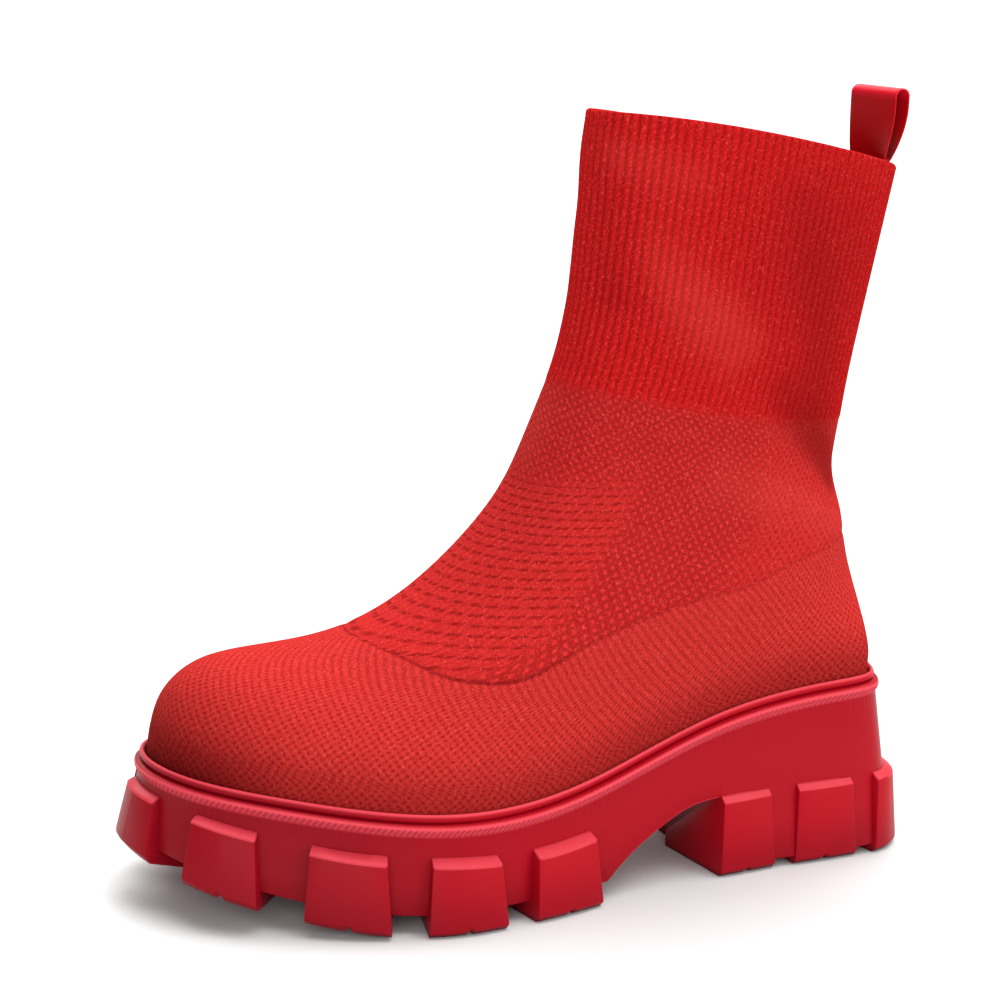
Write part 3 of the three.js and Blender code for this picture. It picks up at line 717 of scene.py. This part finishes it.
def unite(piece, others):
    for other in others:
        join = piece.modifiers.new("join", "BOOLEAN")
        join.operation = "UNION"
        join.solver = "MANIFOLD"
        join.object = other
    bpy.context.view_layer.update()
    united = bpy.data.meshes.new_from_object(piece.evaluated_get(bpy.context.evaluated_depsgraph_get()))
    piece.modifiers.clear()
    piece.data = united
    for other in others:
        bpy.data.objects.remove(other)


def paint_sole(sole):
    """Masks for the painted highlights on the beads, the lug slopes and the fine line above the arch, and for
    the painted shade in the groove and nicks and on the wall.
    """
    at = np.linspace(0, round_length, TABLE_STEPS, endpoint=False)
    line_x, line_y = plan_point(at, 0)
    side_x, side_y = plan_point(at, 1)
    tree = KDTree(TABLE_STEPS)
    for i in range(TABLE_STEPS):
        tree.insert((line_x[i], line_y[i], 0), i)
    tree.balance()

    def measure(parts, what):
        """Places of points or faces in the drawing frame, how far out they lie, and their stations."""
        values = np.zeros(len(parts) * 3)
        parts.foreach_get(what, values)
        place = values.reshape(-1, 3) / MM - shift
        number = np.array([tree.find((x, y, 0))[1] for x, y in place[:, :2]])
        out = (place[:, 0] - line_x[number]) * (side_x - line_x)[number]
        out += (place[:, 1] - line_y[number]) * (side_y - line_y)[number]
        return place, out, number

    place, out, number = measure(sole.data.vertices, "co")
    y = place[:, 1]
    up = (place[:, 2] - bead_height(y)) / LIP_RISE
    band = smooth((up - BAND_LOW) / BEAD_FADE) * smooth((BAND_HIGH - up) / BEAD_FADE)
    lip = smooth((up - LIP_LOW) / BEAD_FADE)
    on_wall = 1 - smooth(out - wall_out(y, place[:, 2]) - WALL_REACH)
    strand = 0.5 - 0.5 * np.cos(2 * np.pi * (at[number] / ROPE_PITCH + up * ROPE_SLANT))
    nick = band * strand * smooth((NICK_TOP - up) / BEAD_FADE)
    groove = smooth((up - BAND_HIGH) / BEAD_FADE) * smooth((GROOVE_TOP - up) / BEAD_FADE)
    in_arch = (y > ARCH_START + ARCH_BEAD_FRONT) & (y < BREAST_PLACE - ARCH_BEAD_BACK)
    in_arch &= out > -RIM_WIDTH
    over_arch = place[:, 2] - underside(y, y > BREAST_PLACE)
    serrated = np.exp(-(((over_arch - ARCH_BEAD) / ARCH_BEAD_HALF) ** 2)) * in_arch * (0.5 + 0.5 * strand)
    # painted highlight on the band, the lip and the fine line above the arch; painted shade in the groove and
    # nicks and on the wall
    for name, values in (
        ("light", np.maximum(band + LIP_PAINTED_HIGHLIGHT * lip, serrated)),
        ("dark", GROOVE_PAINTED_SHADE * groove + NICK_PAINTED_SHADE * nick + WALL_PAINTED_SHADE * on_wall * (up < BAND_LOW)),
    ):
        layer = sole.data.attributes.new(name, "FLOAT", "POINT")
        layer.data.foreach_set("value", np.clip(values, 0, 1).astype(np.float32))

    # faces of the lugs' top slopes, which get a painted highlight
    place, out = measure(sole.data.polygons, "center")[:2]
    normals = np.zeros(len(place) * 3)
    sole.data.polygons.foreach_get("normal", normals)
    level = place[:, 2] - lug_top(place[:, 1])
    on_slope = (level > -LUG_SLOPE - SLOPE_LOW) & (level < SLOPE_HIGH) & (normals[2::3] > SLOPE_TILT)
    on_slope &= out > wall_out(place[:, 1], place[:, 2]) + SLOPE_OUT
    layer = sole.data.attributes.new("lug_slope_highlight", "FLOAT", "FACE")
    layer.data.foreach_set("value", on_slope.astype(np.float32))


def build_sole():
    sole = sole_body()
    parts = []
    for at, width, out, reach, lean in LUG_PLACES:
        parts.append(lug(at * toe_at, width, out, reach, lean))
        if 0 < at < 1:
            parts.append(lug(round_length - at * (round_length - toe_at), width, out, reach, lean))
    for along, half in TREAD_BARS:
        parts.append(tread_bar(along * SOLE_LENGTH, half * BALL_WIDTH))
    for part in parts:
        soften_edges(part, LUG_BEVEL)
    unite(sole, parts)
    shade(sole, SOLE_SHARP)
    paint_sole(sole)
    return sole


# The upper
def even_shares(s, side):
    """Shares from the back to the front ridge that lie at equal distances along the ring."""
    turn = np.linspace(0, np.pi, ARC_STEPS)
    share = (1 + np.cos(turn)) / 2
    ring = upper_point(s, share, side)
    along = np.concatenate([[0], np.cumsum(np.linalg.norm(np.diff(ring, axis=0), axis=1))])
    places = np.linspace(0, along[-1], COLUMNS // 2 + 1)
    return np.interp(places, along, share)


def upper_grid(row_sections):
    points = np.zeros((len(row_sections), COLUMNS, 3))
    shares = np.zeros((len(row_sections), COLUMNS))
    half = COLUMNS // 2
    for i, s in enumerate(row_sections):
        outer = even_shares(s, 1)
        inner = even_shares(s, -1)
        shares[i] = np.concatenate([outer, inner[-2:0:-1]])
        sides = np.concatenate([np.ones(half + 1), -np.ones(half - 1)])
        points[i] = upper_point(s, shares[i], sides)
    return points, shares


def grid_normals(points):
    round_way = np.roll(points, -1, axis=1) - np.roll(points, 1, axis=1)
    up_way = np.gradient(points, axis=0)
    normal = np.cross(up_way, round_way)
    return normal / np.maximum(np.linalg.norm(normal, axis=2, keepdims=True), 1e-9)


seam_height = table_line(SEAM_LINE, 1, SOLE_LENGTH, FRONT_RISE)


def seam_distance(points, normals):
    """Distance along the cloth from the seam, positive above it."""
    y = points[..., 1]
    slope = seam_height(y + 0.5) - seam_height(y - 0.5)
    gradient = np.stack([np.zeros_like(slope), -slope, np.ones_like(slope)], axis=-1)
    across = (gradient * normals).sum(-1, keepdims=True)
    steepness = np.linalg.norm(gradient - across * normals, axis=-1)
    return (points[..., 2] - seam_height(y)) / np.maximum(steepness, LEAST_STEEPNESS)


def fold_relief(points):
    """How far the creases move the cloth out at each point."""
    collar = mix(front_z(LAST_SECTION), back_z(LAST_SECTION), smooth(points[..., 1] / SHAFT_DEPTH))
    free = smooth((collar - points[..., 2]) / FOLD_FREE)
    relief = np.zeros(points.shape[:2])
    for side, strength in ((1, 1), (-1, FOLD_INNER_SIDE)):
        placed = points * (side, 1, 1)
        for start, end, half, out_at_start, out_at_end in FOLDS:
            start = np.array(start)
            along = np.array(end) - start
            share = np.clip((placed - start) @ along / (along @ along), 0, 1)
            distance = np.linalg.norm(placed - start - share[..., None] * along, axis=-1)
            relief += strength * mix(out_at_start, out_at_end, share) * np.exp(-((distance / half) ** 2))
    return relief * free


def rib_mask(s, share):
    start = mix(RIB_START_FRONT, RIB_START_BACK, share)
    return smooth((s - start) / RIB_FADE + 0.5)


def build_upper():
    top = LAST_SECTION - COLLAR_DROP
    sections = np.append(np.linspace(0, top - COLLAR_EDGE, OUTER_ROWS - 1), top)
    points, shares = upper_grid(sections)
    normals = grid_normals(points)
    s = sections[:, None] * np.ones((1, COLUMNS))
    ribbed = rib_mask(s, shares)
    seam = seam_distance(points, normals)
    turn = np.arange(COLUMNS) / RIB_COLUMNS
    rib = RIB_HEIGHT * ribbed * np.cos(2 * np.pi * turn)[None, :]
    groove = -SEAM_DEPTH * np.exp(-((seam / SEAM_HALF) ** 2))
    creases = fold_relief(points)
    outer = points + normals * (rib + groove + creases)[..., None]

    inner_sections = np.linspace(top, 0, INNER_ROWS)
    inner_points = upper_grid(inner_sections)[0]
    inner_normals = -grid_normals(inner_points)
    inner_normals[0] = normals[-1]
    inner_normals[-1, :, 2] = 0
    inner = inner_points - inner_normals * (WALL - fold_relief(inner_points))[..., None]

    up = np.array([0, 0, 1])
    fold = []
    for angle in np.pi * np.arange(1, FOLD_STEPS) / FOLD_STEPS:
        move = up * np.sin(angle) - normals[-1] * (1 - np.cos(angle))
        fold.append(points[-1] + move * WALL / 2)
    rows = np.concatenate([outer, np.array(fold), inner])
    faces = strips(len(rows), COLUMNS, close=True)
    piece = make_mesh("upper_knit", rows, faces[:, ::-1].tolist())

    step_length = np.linalg.norm(np.diff(points, axis=0), axis=2)
    along = np.concatenate([np.zeros((1, COLUMNS)), np.cumsum(step_length, axis=0)])
    hidden = len(rows) - OUTER_ROWS
    inner_along = along[-1] + np.arange(1, hidden + 1)[:, None] * HIDDEN_ROW
    along = np.concatenate([along, inner_along])

    numbers = np.zeros(len(piece.data.loops), np.int32)
    piece.data.loops.foreach_get("vertex_index", numbers)
    column = numbers % COLUMNS
    per_face = column.reshape(-1, 4)
    last_strip = (per_face.max(1) == COLUMNS - 1) & (per_face.min(1) == 0)
    wraps = np.repeat(last_strip, 4) & (column == 0)
    around = np.where(wraps, 1, column / COLUMNS)
    knit_map = np.stack([around, along.reshape(-1)[numbers]], axis=-1).astype(np.float32)
    piece.data.uv_layers.new(name="knit").data.foreach_set("uv", knit_map.reshape(-1))

    def add_mask(name, values):
        layer = piece.data.attributes.new(name, "FLOAT", "POINT")
        padded = np.concatenate([values, np.repeat(values[-1:], hidden, axis=0)])
        layer.data.foreach_set("value", padded.reshape(-1).astype(np.float32))

    add_mask("ribbed", ribbed)
    add_mask("above_seam", smooth(seam / SEAM_CHANGE + 0.5))
    add_mask("seam", np.clip(np.abs(seam), 0, SEAM_REACH))
    y = points[..., 1]
    height = points[..., 2]
    rows_low = 1 - smooth((height - ROWS_TOP) / ROWS_TOP_FADE)
    add_mask("front", (1 - smooth((shares - ROWS_END) / ROWS_FADE)) * rows_low)
    add_mask("back", smooth((shares - MESH_START) / MESH_FADE))
    # the creases' relief, which the knit's colour also uses for painted shade in troughs and painted
    # highlight on ridges
    add_mask("crease", creases)
    # painted shade: darker towards the rim, round the toe and in broad patches of the shaft and the ankle
    rise = height - bead_height(y) - LIP_RISE
    toe = smooth((y - TOE_SHADE_START) / (TOE_SHADE_END - TOE_SHADE_START))
    low = RIM_SHADE * (1 - smooth(rise / SHADE_RISE))
    low += TOE_SHADE * (1 - smooth(rise / TOE_SHADE_RISE)) * toe
    mirrored = np.stack([np.abs(points[..., 0]), y, height], axis=-1)
    for middle, half_width, depth in SOFT_SHADES:
        from_middle = np.linalg.norm(mirrored - middle, axis=-1)
        low += depth * np.exp(-((from_middle / half_width) ** 2))
    add_mask("low", low)
    add_mask("faint", smooth((y - SEAM_CLEAR_END) / SEAM_FADE))
    finer = (COURSE_LOW - COURSE_HIGH) / (COURSE_HIGH_PLACE - COURSE_LOW_PLACE)
    add_mask("course", -np.log(COURSE_LOW - finer * (height - COURSE_LOW_PLACE)) / finer)
    piece.data.shade_smooth()
    return piece


# The insole and the pull loop
def build_insole():
    half = INSOLE_STATIONS // 2
    to_toe = np.linspace(0, toe_at, half, endpoint=False)
    at = np.concatenate([to_toe, np.linspace(toe_at, round_length, half, endpoint=False)])

    def ring(up, inset):
        x, y = plan_point(at, insole_out - inset)
        return np.stack([x, y, bed_height(y) + CLEARANCE + up], axis=-1)

    rings = [ring(0, 0)]
    for step in range(INSOLE_EDGE_STEPS + 1):
        turn = np.pi / 2 * step / INSOLE_EDGE_STEPS
        below = INSOLE_ROUND * (1 - math.sin(turn))
        rings.append(ring(INSOLE_THICKNESS - below, INSOLE_ROUND * (1 - math.cos(turn))))
    piece = make_mesh("insole_sock", np.concatenate(rings), plan_faces(len(rings), len(at)))
    shade(piece, SMALL_SHARP)
    return piece


def loop_section(inset):
    """The pull loop's outline in the plane across the ribbon, at a distance in from its outer face."""
    collar_back = float(back_z(LAST_SECTION))
    fold_radius = LOOP_OPENING / 2 + RIBBON
    strand_foot = collar_back + LOOP_PART
    strand_top = collar_back + LOOP_RISE - fold_radius
    side = []
    for i in range(LOOP_STEPS + 1):
        t = i / LOOP_STEPS
        out = LOOP_OPENING / 2 * math.sin(math.pi / 2 * t**LOOP_SWELL) + RIBBON - inset
        side.append((out, mix(strand_foot, strand_top, t)))
    for i in range(1, LOOP_TOP_STEPS):
        turn = math.pi / 2 * i / LOOP_TOP_STEPS
        radius = fold_radius - inset
        side.append((radius * math.cos(turn), strand_top + radius * math.sin(turn)))
    top = [(0, strand_top + fold_radius - inset)]
    return side + top + [(-x, z) for x, z in reversed(side)]


def build_pull_loop():
    collar_back = float(back_z(LAST_SECTION))
    outer = loop_section(0)
    inner = loop_section(LOOP_STRAND)[1:-1]
    s = LAST_SECTION
    lean = float((back_y(s) - back_y(s - 1)) / (back_z(s) - back_z(s - 1)))
    ring_middle = float(front_y(s) + back_y(s)) / 2
    ring_depth = float(back_y(s) - front_y(s)) / 2

    def inside(w):
        rounding = (1 - abs(w / (float(ring_half(s)) - WALL)) ** 2) ** (1 / float(ring_full(s)))
        return ring_middle + (ring_depth - WALL) * rounding

    def bend(w, out, z):
        above = z - collar_back
        free = math.sin(math.pi / 2 * min(max(above / LOOP_FREE, 0), 1))
        flat_y = inside(LOOP_WIDTH / 4) + w * math.tan(LOOP_TURN)
        leaned = LOOP_LEAN * above if above > 0 else lean * above
        return [w, mix(inside(w), flat_y, free) + leaned - CLEARANCE - LOOP_EASE - RIBBON + out, z]

    steps = LOOP_TAIL_STEPS
    tail = [mix(collar_back - LOOP_TAIL, outer[0][1], i / steps) for i in range(steps)]
    outline = [(RIBBON, z) for z in tail] + outer + [(-RIBBON, z) for z in reversed(tail)]
    across = np.linspace(-LOOP_WIDTH / 2, LOOP_WIDTH / 2, LOOP_COLUMNS)
    points = [bend(w, out, z) for w in across for out, z in outline]
    opening = len(points)
    points += [bend(w, out, z) for w in across for out, z in inner]
    faces = strips(LOOP_COLUMNS, len(outline)).tolist()
    faces += (strips(LOOP_COLUMNS, len(inner)) + opening).tolist()
    for column in (0, LOOP_COLUMNS - 1):
        a = [column * len(outline) + i for i in range(len(outline))]
        b = [opening + column * len(inner) + i for i in range(len(inner))]
        faces += [[a[i], a[i + 1], a[-i - 2], a[-i - 1]] for i in range(steps)]
        faces.append([a[steps], a[steps + 1], b[0], b[-1], a[-steps - 2], a[-steps - 1]])
        faces += [[a[steps + i], a[steps + i + 1], b[i], b[i - 1]] for i in range(1, len(b))]
    piece = make_mesh("pull_loop_ribbon", points, faces)
    soften_edges(piece, LOOP_BEVEL)
    shade(piece, SMALL_SHARP)
    return piece


# Materials
def rgb(red, green, blue):
    """A linear colour from one as a screen shows it, 0 to 255."""

    def channel(value):
        value /= 255
        return value / 12.92 if value <= 0.04045 else ((value + 0.055) / 1.055) ** 2.4

    return (channel(red), channel(green), channel(blue), 1)


class Shader:
    """A node material whose nodes are made by short calls."""

    def __init__(self, name):
        self.material = bpy.data.materials.new(name)
        self.material.use_nodes = True
        self.tree = self.material.node_tree
        self.surface = self.tree.nodes["Principled BSDF"]

    def link(self, source, target):
        if hasattr(source, "is_output"):
            self.tree.links.new(source, target)
        else:
            target.default_value = source

    def node(self, kind, **settings):
        made = self.tree.nodes.new(kind)
        for key, value in settings.items():
            setattr(made, key, value)
        return made

    def math(self, operation, a, b=0.0, clamp=False):
        made = self.node("ShaderNodeMath", operation=operation, use_clamp=clamp)
        self.link(a, made.inputs[0])
        self.link(b, made.inputs[1])
        return made.outputs[0]

    def step(self, value, low, high):
        """0 below low, 1 above high, smooth between."""
        made = self.node("ShaderNodeMapRange", interpolation_type="SMOOTHSTEP")
        self.link(value, made.inputs["Value"])
        made.inputs["From Min"].default_value = low
        made.inputs["From Max"].default_value = high
        return made.outputs["Result"]

    def mask(self, name):
        return self.node("ShaderNodeAttribute", attribute_name=name).outputs["Fac"]

    def parts(self, vector):
        made = self.node("ShaderNodeSeparateXYZ")
        self.link(vector, made.inputs[0])
        return made.outputs["X"], made.outputs["Y"], made.outputs["Z"]

    def uv(self, name):
        return self.parts(self.node("ShaderNodeUVMap", uv_map=name).outputs["UV"])[:2]

    def place(self):
        return self.parts(self.node("ShaderNodeTexCoord").outputs["Object"])

    def noise(self, scale, detail=2.0):
        made = self.node("ShaderNodeTexNoise")
        self.link(self.node("ShaderNodeTexCoord").outputs["Object"], made.inputs["Vector"])
        made.inputs["Scale"].default_value = scale
        made.inputs["Detail"].default_value = detail
        return made.outputs["Fac"]

    def wave(self, value, pitch):
        """A cosine of a length, one turn for each pitch."""
        return self.math("COSINE", self.math("MULTIPLY", value, 2 * math.pi / pitch))

    def blend(self, a, b, share):
        made = self.node("ShaderNodeMix", data_type="RGBA")
        self.link(share, made.inputs["Factor"])
        self.link(a, made.inputs["A"])
        self.link(b, made.inputs["B"])
        return made.outputs["Result"]

    def tint(self, a, b, mask, share):
        """Colour a turned towards b by a share where the mask is 1."""
        return self.blend(a, b, self.math("MULTIPLY", mask, share))

    def mixed(self, a, b, share):
        made = self.node("ShaderNodeMix", data_type="FLOAT")
        self.link(share, made.inputs[0])
        self.link(a, made.inputs[2])
        self.link(b, made.inputs[3])
        return made.outputs[0]

    def bump(self, height, strength, distance, normal=None):
        made = self.node("ShaderNodeBump")
        made.inputs["Strength"].default_value = strength
        made.inputs["Distance"].default_value = distance * MM
        self.link(height, made.inputs["Height"])
        if normal:
            self.link(normal, made.inputs["Normal"])
        return made.outputs["Normal"]

    def set(self, **values):
        for key, value in values.items():
            self.link(value, self.surface.inputs[key.replace("_", " ")])


def knit_material():
    shader = Shader("red_knit")
    around, along = shader.uv("knit")
    course = shader.mask("course")
    above = shader.mask("above_seam")
    back = shader.mask("back")
    faint = shader.mask("faint")
    ribbed = shader.mask("ribbed")
    unevenness = shader.math("SUBTRACT", shader.noise(260, 2), 0.5)

    def turns(*terms):
        """A cosine of the sum of some counts, each with its factor, a little uneven as knitting is."""
        total = shader.math("MULTIPLY", unevenness, YARN_UNEVEN)
        for value, factor in terms:
            added = shader.math("MULTIPLY_ADD", value, factor)
            shader.link(total, added.node.inputs[2])
            total = added
        return shader.math("COSINE", shader.math("MULTIPLY", total, 2 * math.pi))

    def both(a, b):
        return shader.math("MULTIPLY", a, b)

    # ribs of the shaft: broad ridges with thin valleys, painted dark as shade, and small stitches up each of
    # them
    ridges = shader.step(turns((around, RIBS)), -1.0, -0.2)
    stitches = shader.step(both(turns((around, RIBS / 2)), turns((along, 1 / STITCH))), 0.0, 0.9)
    rib_yarn = shader.math("ADD", shader.mixed(0.42, 0.73, ridges), both(stitches, 0.25))

    # mesh of the foot: pits on a slanting lattice, painted dark as shade
    lattice = both(turns((around, MESH_WALES)), turns((along, 1 / MESH_PITCH)))
    pits = shader.step(lattice, 0.2, 0.9)
    knots = shader.step(lattice, -0.2, -0.9)
    foot = shader.math("SUBTRACT", shader.math("ADD", 0.72, both(knots, 0.22)), both(pits, 0.45))

    # rows across the instep, parted by thin lines painted dark as shade
    line = shader.step(turns((course, 1)), 0.2, 0.95)
    breaks = shader.step(turns((around, 0.5 * ANKLE_WALES), (course, 0.5)), -0.9, -0.3)
    dots = shader.step(turns((around, ANKLE_WALES), (course, 0.5)), 0.0, 0.9)
    rows = shader.math("ADD", shader.mixed(0.68, 0.2, both(line, breaks)), both(dots, 0.2))

    # short slanting dashes on the sides and front of the ankle
    slant = shader.step(turns((course, 0.9), (around, -ANKLE_WALES)), -0.3, 0.9)
    cut = shader.step(turns((course, 0.7), (around, 0.5 * ANKLE_WALES)), -0.6, 0.4)
    dashes = shader.mixed(0.42, 1.1, both(slant, cut))

    # a fine mesh at the back of the ankle
    fine = shader.step(both(turns((around, ANKLE_WALES)), turns((course, 0.7))), -0.1, 0.9)
    fine_mesh = shader.mixed(0.8, 0.4, fine)

    ankle = shader.mixed(dashes, rows, shader.mask("front"))
    ankle = shader.mixed(ankle, fine_mesh, back)
    below = shader.mixed(foot, ankle, above)
    height = shader.mixed(below, rib_yarn, ribbed)

    # the seam: a thin broken line that is fainter towards the heel
    thread = shader.step(turns((along, 0.35), (around, 190)), -0.8, 0.2)
    near_seam = shader.math("SUBTRACT", 1.0, shader.step(shader.mask("seam"), 0.3, 1.0))
    seam_line = both(both(near_seam, shader.mixed(0.55, 1.0, thread)), shader.mixed(0.85, 0.3, faint))

    # dark red for the painted shade of the hollows and creases, and for random darker flecks
    dark = rgb(100, 8, 10)
    plain = shader.blend(rgb(174, 43, 40), rgb(174, 37, 36), above)
    plain = shader.blend(plain, rgb(174, 23, 24), ribbed)
    # light red for the painted glints and the painted highlight on the creases' ridges
    light = rgb(222, 90, 80)
    # dark red for the seam's thread and for the painted shade near the rim, round the toe and on the shaft
    seam_and_shade_red = rgb(58, 1, 4)
    grain = shader.noise(1300, 1)
    crease = shader.mask("crease")
    # painted shade: the knit's hollows darker, from the same relief as the bump
    colour = shader.blend(dark, plain, shader.mixed(0.1, 1.0, height))
    # painted glints: small lighter flecks at random
    colour = shader.tint(colour, light, shader.step(grain, 0.56, 0.78), 0.27)
    colour = shader.tint(colour, dark, shader.step(grain, 0.47, 0.3), 0.33)
    colour = shader.tint(colour, seam_and_shade_red, seam_line, 0.7)
    # painted shade towards the rim, round the toe and in broad patches of the shaft and the ankle
    colour = shader.blend(colour, seam_and_shade_red, shader.mask("low"))
    # painted shade in the creases' troughs and painted highlight on their ridges
    colour = shader.tint(colour, dark, shader.step(crease, -0.2, -2.4), 0.65)
    colour = shader.tint(colour, light, shader.step(crease, 0.0, 1.8), 0.12)
    fuzz = shader.bump(grain, 0.3, 0.15)
    relief = shader.bump(height, 0.7, 0.4, fuzz)
    shader.set(Base_Color=colour, Roughness=0.85, Normal=relief, Specular_IOR_Level=0.0)
    shader.set(Sheen_Weight=0.06, Sheen_Roughness=0.45, Sheen_Tint=rgb(255, 120, 110))
    return shader.material


def rubber_material():
    shader = Shader("red_rubber")
    y, z = shader.place()[1:]
    cloud = shader.noise(35, 3)
    colour = shader.blend(rgb(147, 5, 19), rgb(154, 8, 23), cloud)

    # painted shade towards the floor and the toe
    colour = shader.tint(colour, rgb(80, 4, 18), shader.step(z, 20 * MM, 2 * MM), 0.3)
    colour = shader.tint(colour, rgb(60, 6, 22), shader.step(z, 2.2 * MM, 0.4 * MM), 0.7)
    colour = shader.tint(colour, rgb(80, 4, 18), shader.step(y, -5 * MM, -120 * MM), 0.42)

    # painted highlights on the lug slopes and beads, and painted shade in the groove and nicks and on the
    # wall
    slopes = shader.math("MULTIPLY", shader.mask("lug_slope_highlight"), 0.55)
    painted_highlight = shader.math("MAXIMUM", slopes, shader.math("MULTIPLY", shader.mask("light"), 0.85))
    colour = shader.blend(colour, rgb(200, 63, 75), painted_highlight)
    colour = shader.tint(colour, rgb(96, 4, 16), shader.mask("dark"), 0.9)
    grain = shader.bump(shader.noise(2600, 2), 0.12, 0.05)
    shader.set(Base_Color=colour, Roughness=shader.mixed(0.34, 0.44, cloud), Normal=grain)
    shader.set(Specular_IOR_Level=0.08)
    return shader.material


def ribbon_material():
    shader = Shader("red_satin_ribbon")
    z = shader.place()[2]
    threads = shader.wave(z, 0.55 * MM)
    top = float(back_z(LAST_SECTION)) + LOOP_RISE
    # painted highlight along the top of the ribbon's fold, where it faces up
    fold = shader.step(z, (top - 5) * MM, (top - 0.5) * MM)
    colour = shader.blend(rgb(146, 2, 7), rgb(168, 4, 11), shader.step(threads, -1.0, 1.0))
    colour = shader.tint(colour, rgb(214, 16, 42), fold, 0.75)
    shader.set(Base_Color=colour, Roughness=0.42, Normal=shader.bump(threads, 0.25, 0.06))
    shader.set(Specular_IOR_Level=0.1)
    return shader.material


def insole_material():
    shader = Shader("red_insole_cloth")
    x, y = shader.place()[:2]
    weave = shader.math("MULTIPLY", shader.wave(x, 1.2 * MM), shader.wave(y, 1.2 * MM))
    colour = shader.blend(rgb(122, 14, 20), rgb(156, 24, 28), shader.step(weave, -1.0, 1.0))
    shader.set(Base_Color=colour, Roughness=0.9, Normal=shader.bump(weave, 0.4, 0.15))
    return shader.material


# The pieces
for piece, node, slot, material in (
    (build_sole(), "sole", "sole", rubber_material()),
    (build_insole(), "insole", "insole", insole_material()),
    (build_upper(), "upper", "knit", knit_material()),
    (build_pull_loop(), "pull_loop", "ribbon", ribbon_material()),
):
    piece.data.materials.clear()
    piece.data.materials.append(material)
    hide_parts(node)
    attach(piece, "root")


# Floor, light and camera
def build_floor():
    mesh = bpy.data.meshes.new("floor")
    corners = [(x * FLOOR_REACH, y * FLOOR_REACH, 0) for x, y in ((-1, -1), (1, -1), (1, 1), (-1, 1))]
    mesh.from_pydata(corners, [], [(0, 1, 2, 3)])
    floor = bpy.data.objects.new("floor", mesh)
    bpy.context.scene.collection.objects.link(floor)
    shader = Shader("pale_floor")
    shader.set(Base_Color=rgb(192, 192, 192), Roughness=0.9)
    mesh.materials.append(shader.material)


def soft_sun(name, towards, spread, strength):
    """Even soft light from a direction, given as a vector from the boot to the lamp."""
    lamp = bpy.data.lights.new(name, "SUN")
    lamp.angle = math.radians(spread)
    lamp.energy = strength
    holder = bpy.data.objects.new(name, lamp)
    holder.rotation_euler = Vector(towards).to_track_quat("Z", "Y").to_euler()
    bpy.context.scene.collection.objects.link(holder)


def build_camera():
    data = bpy.data.cameras.new("camera")
    data.lens = CAMERA_LENS
    data.sensor_width = SENSOR
    camera = bpy.data.objects.new("camera", data)
    heading = math.radians(CAMERA_HEADING)
    pitch = math.radians(CAMERA_PITCH)
    roll = math.radians(CAMERA_ROLL)
    level = Vector((-math.sin(heading), math.cos(heading), 0))
    ahead = level * math.cos(pitch) - Vector((0, 0, math.sin(pitch)))
    right = ahead.cross(Vector((0, 0, 1))).normalized()
    up = right.cross(ahead)
    rolled_right = right * math.cos(roll) + up * math.sin(roll)
    rolled_up = up * math.cos(roll) - right * math.sin(roll)
    turn = Matrix((rolled_right, rolled_up, -ahead)).transposed().to_4x4()
    camera.matrix_world = Matrix.Translation(Vector(CAMERA_PLACE)) @ turn
    bpy.context.scene.collection.objects.link(camera)
    bpy.context.scene.camera = camera


build_floor()
for sun in SUNS:
    soft_sun(*sun)
world = bpy.data.worlds.new("studio")
world.use_nodes = True
world.node_tree.nodes["Background"].inputs["Color"].default_value = (1, 1, 1, 1)
world.node_tree.nodes["Background"].inputs["Strength"].default_value = WORLD_STRENGTH
bpy.context.scene.world = world
bpy.context.scene.view_settings.view_transform = "Standard"
build_camera()
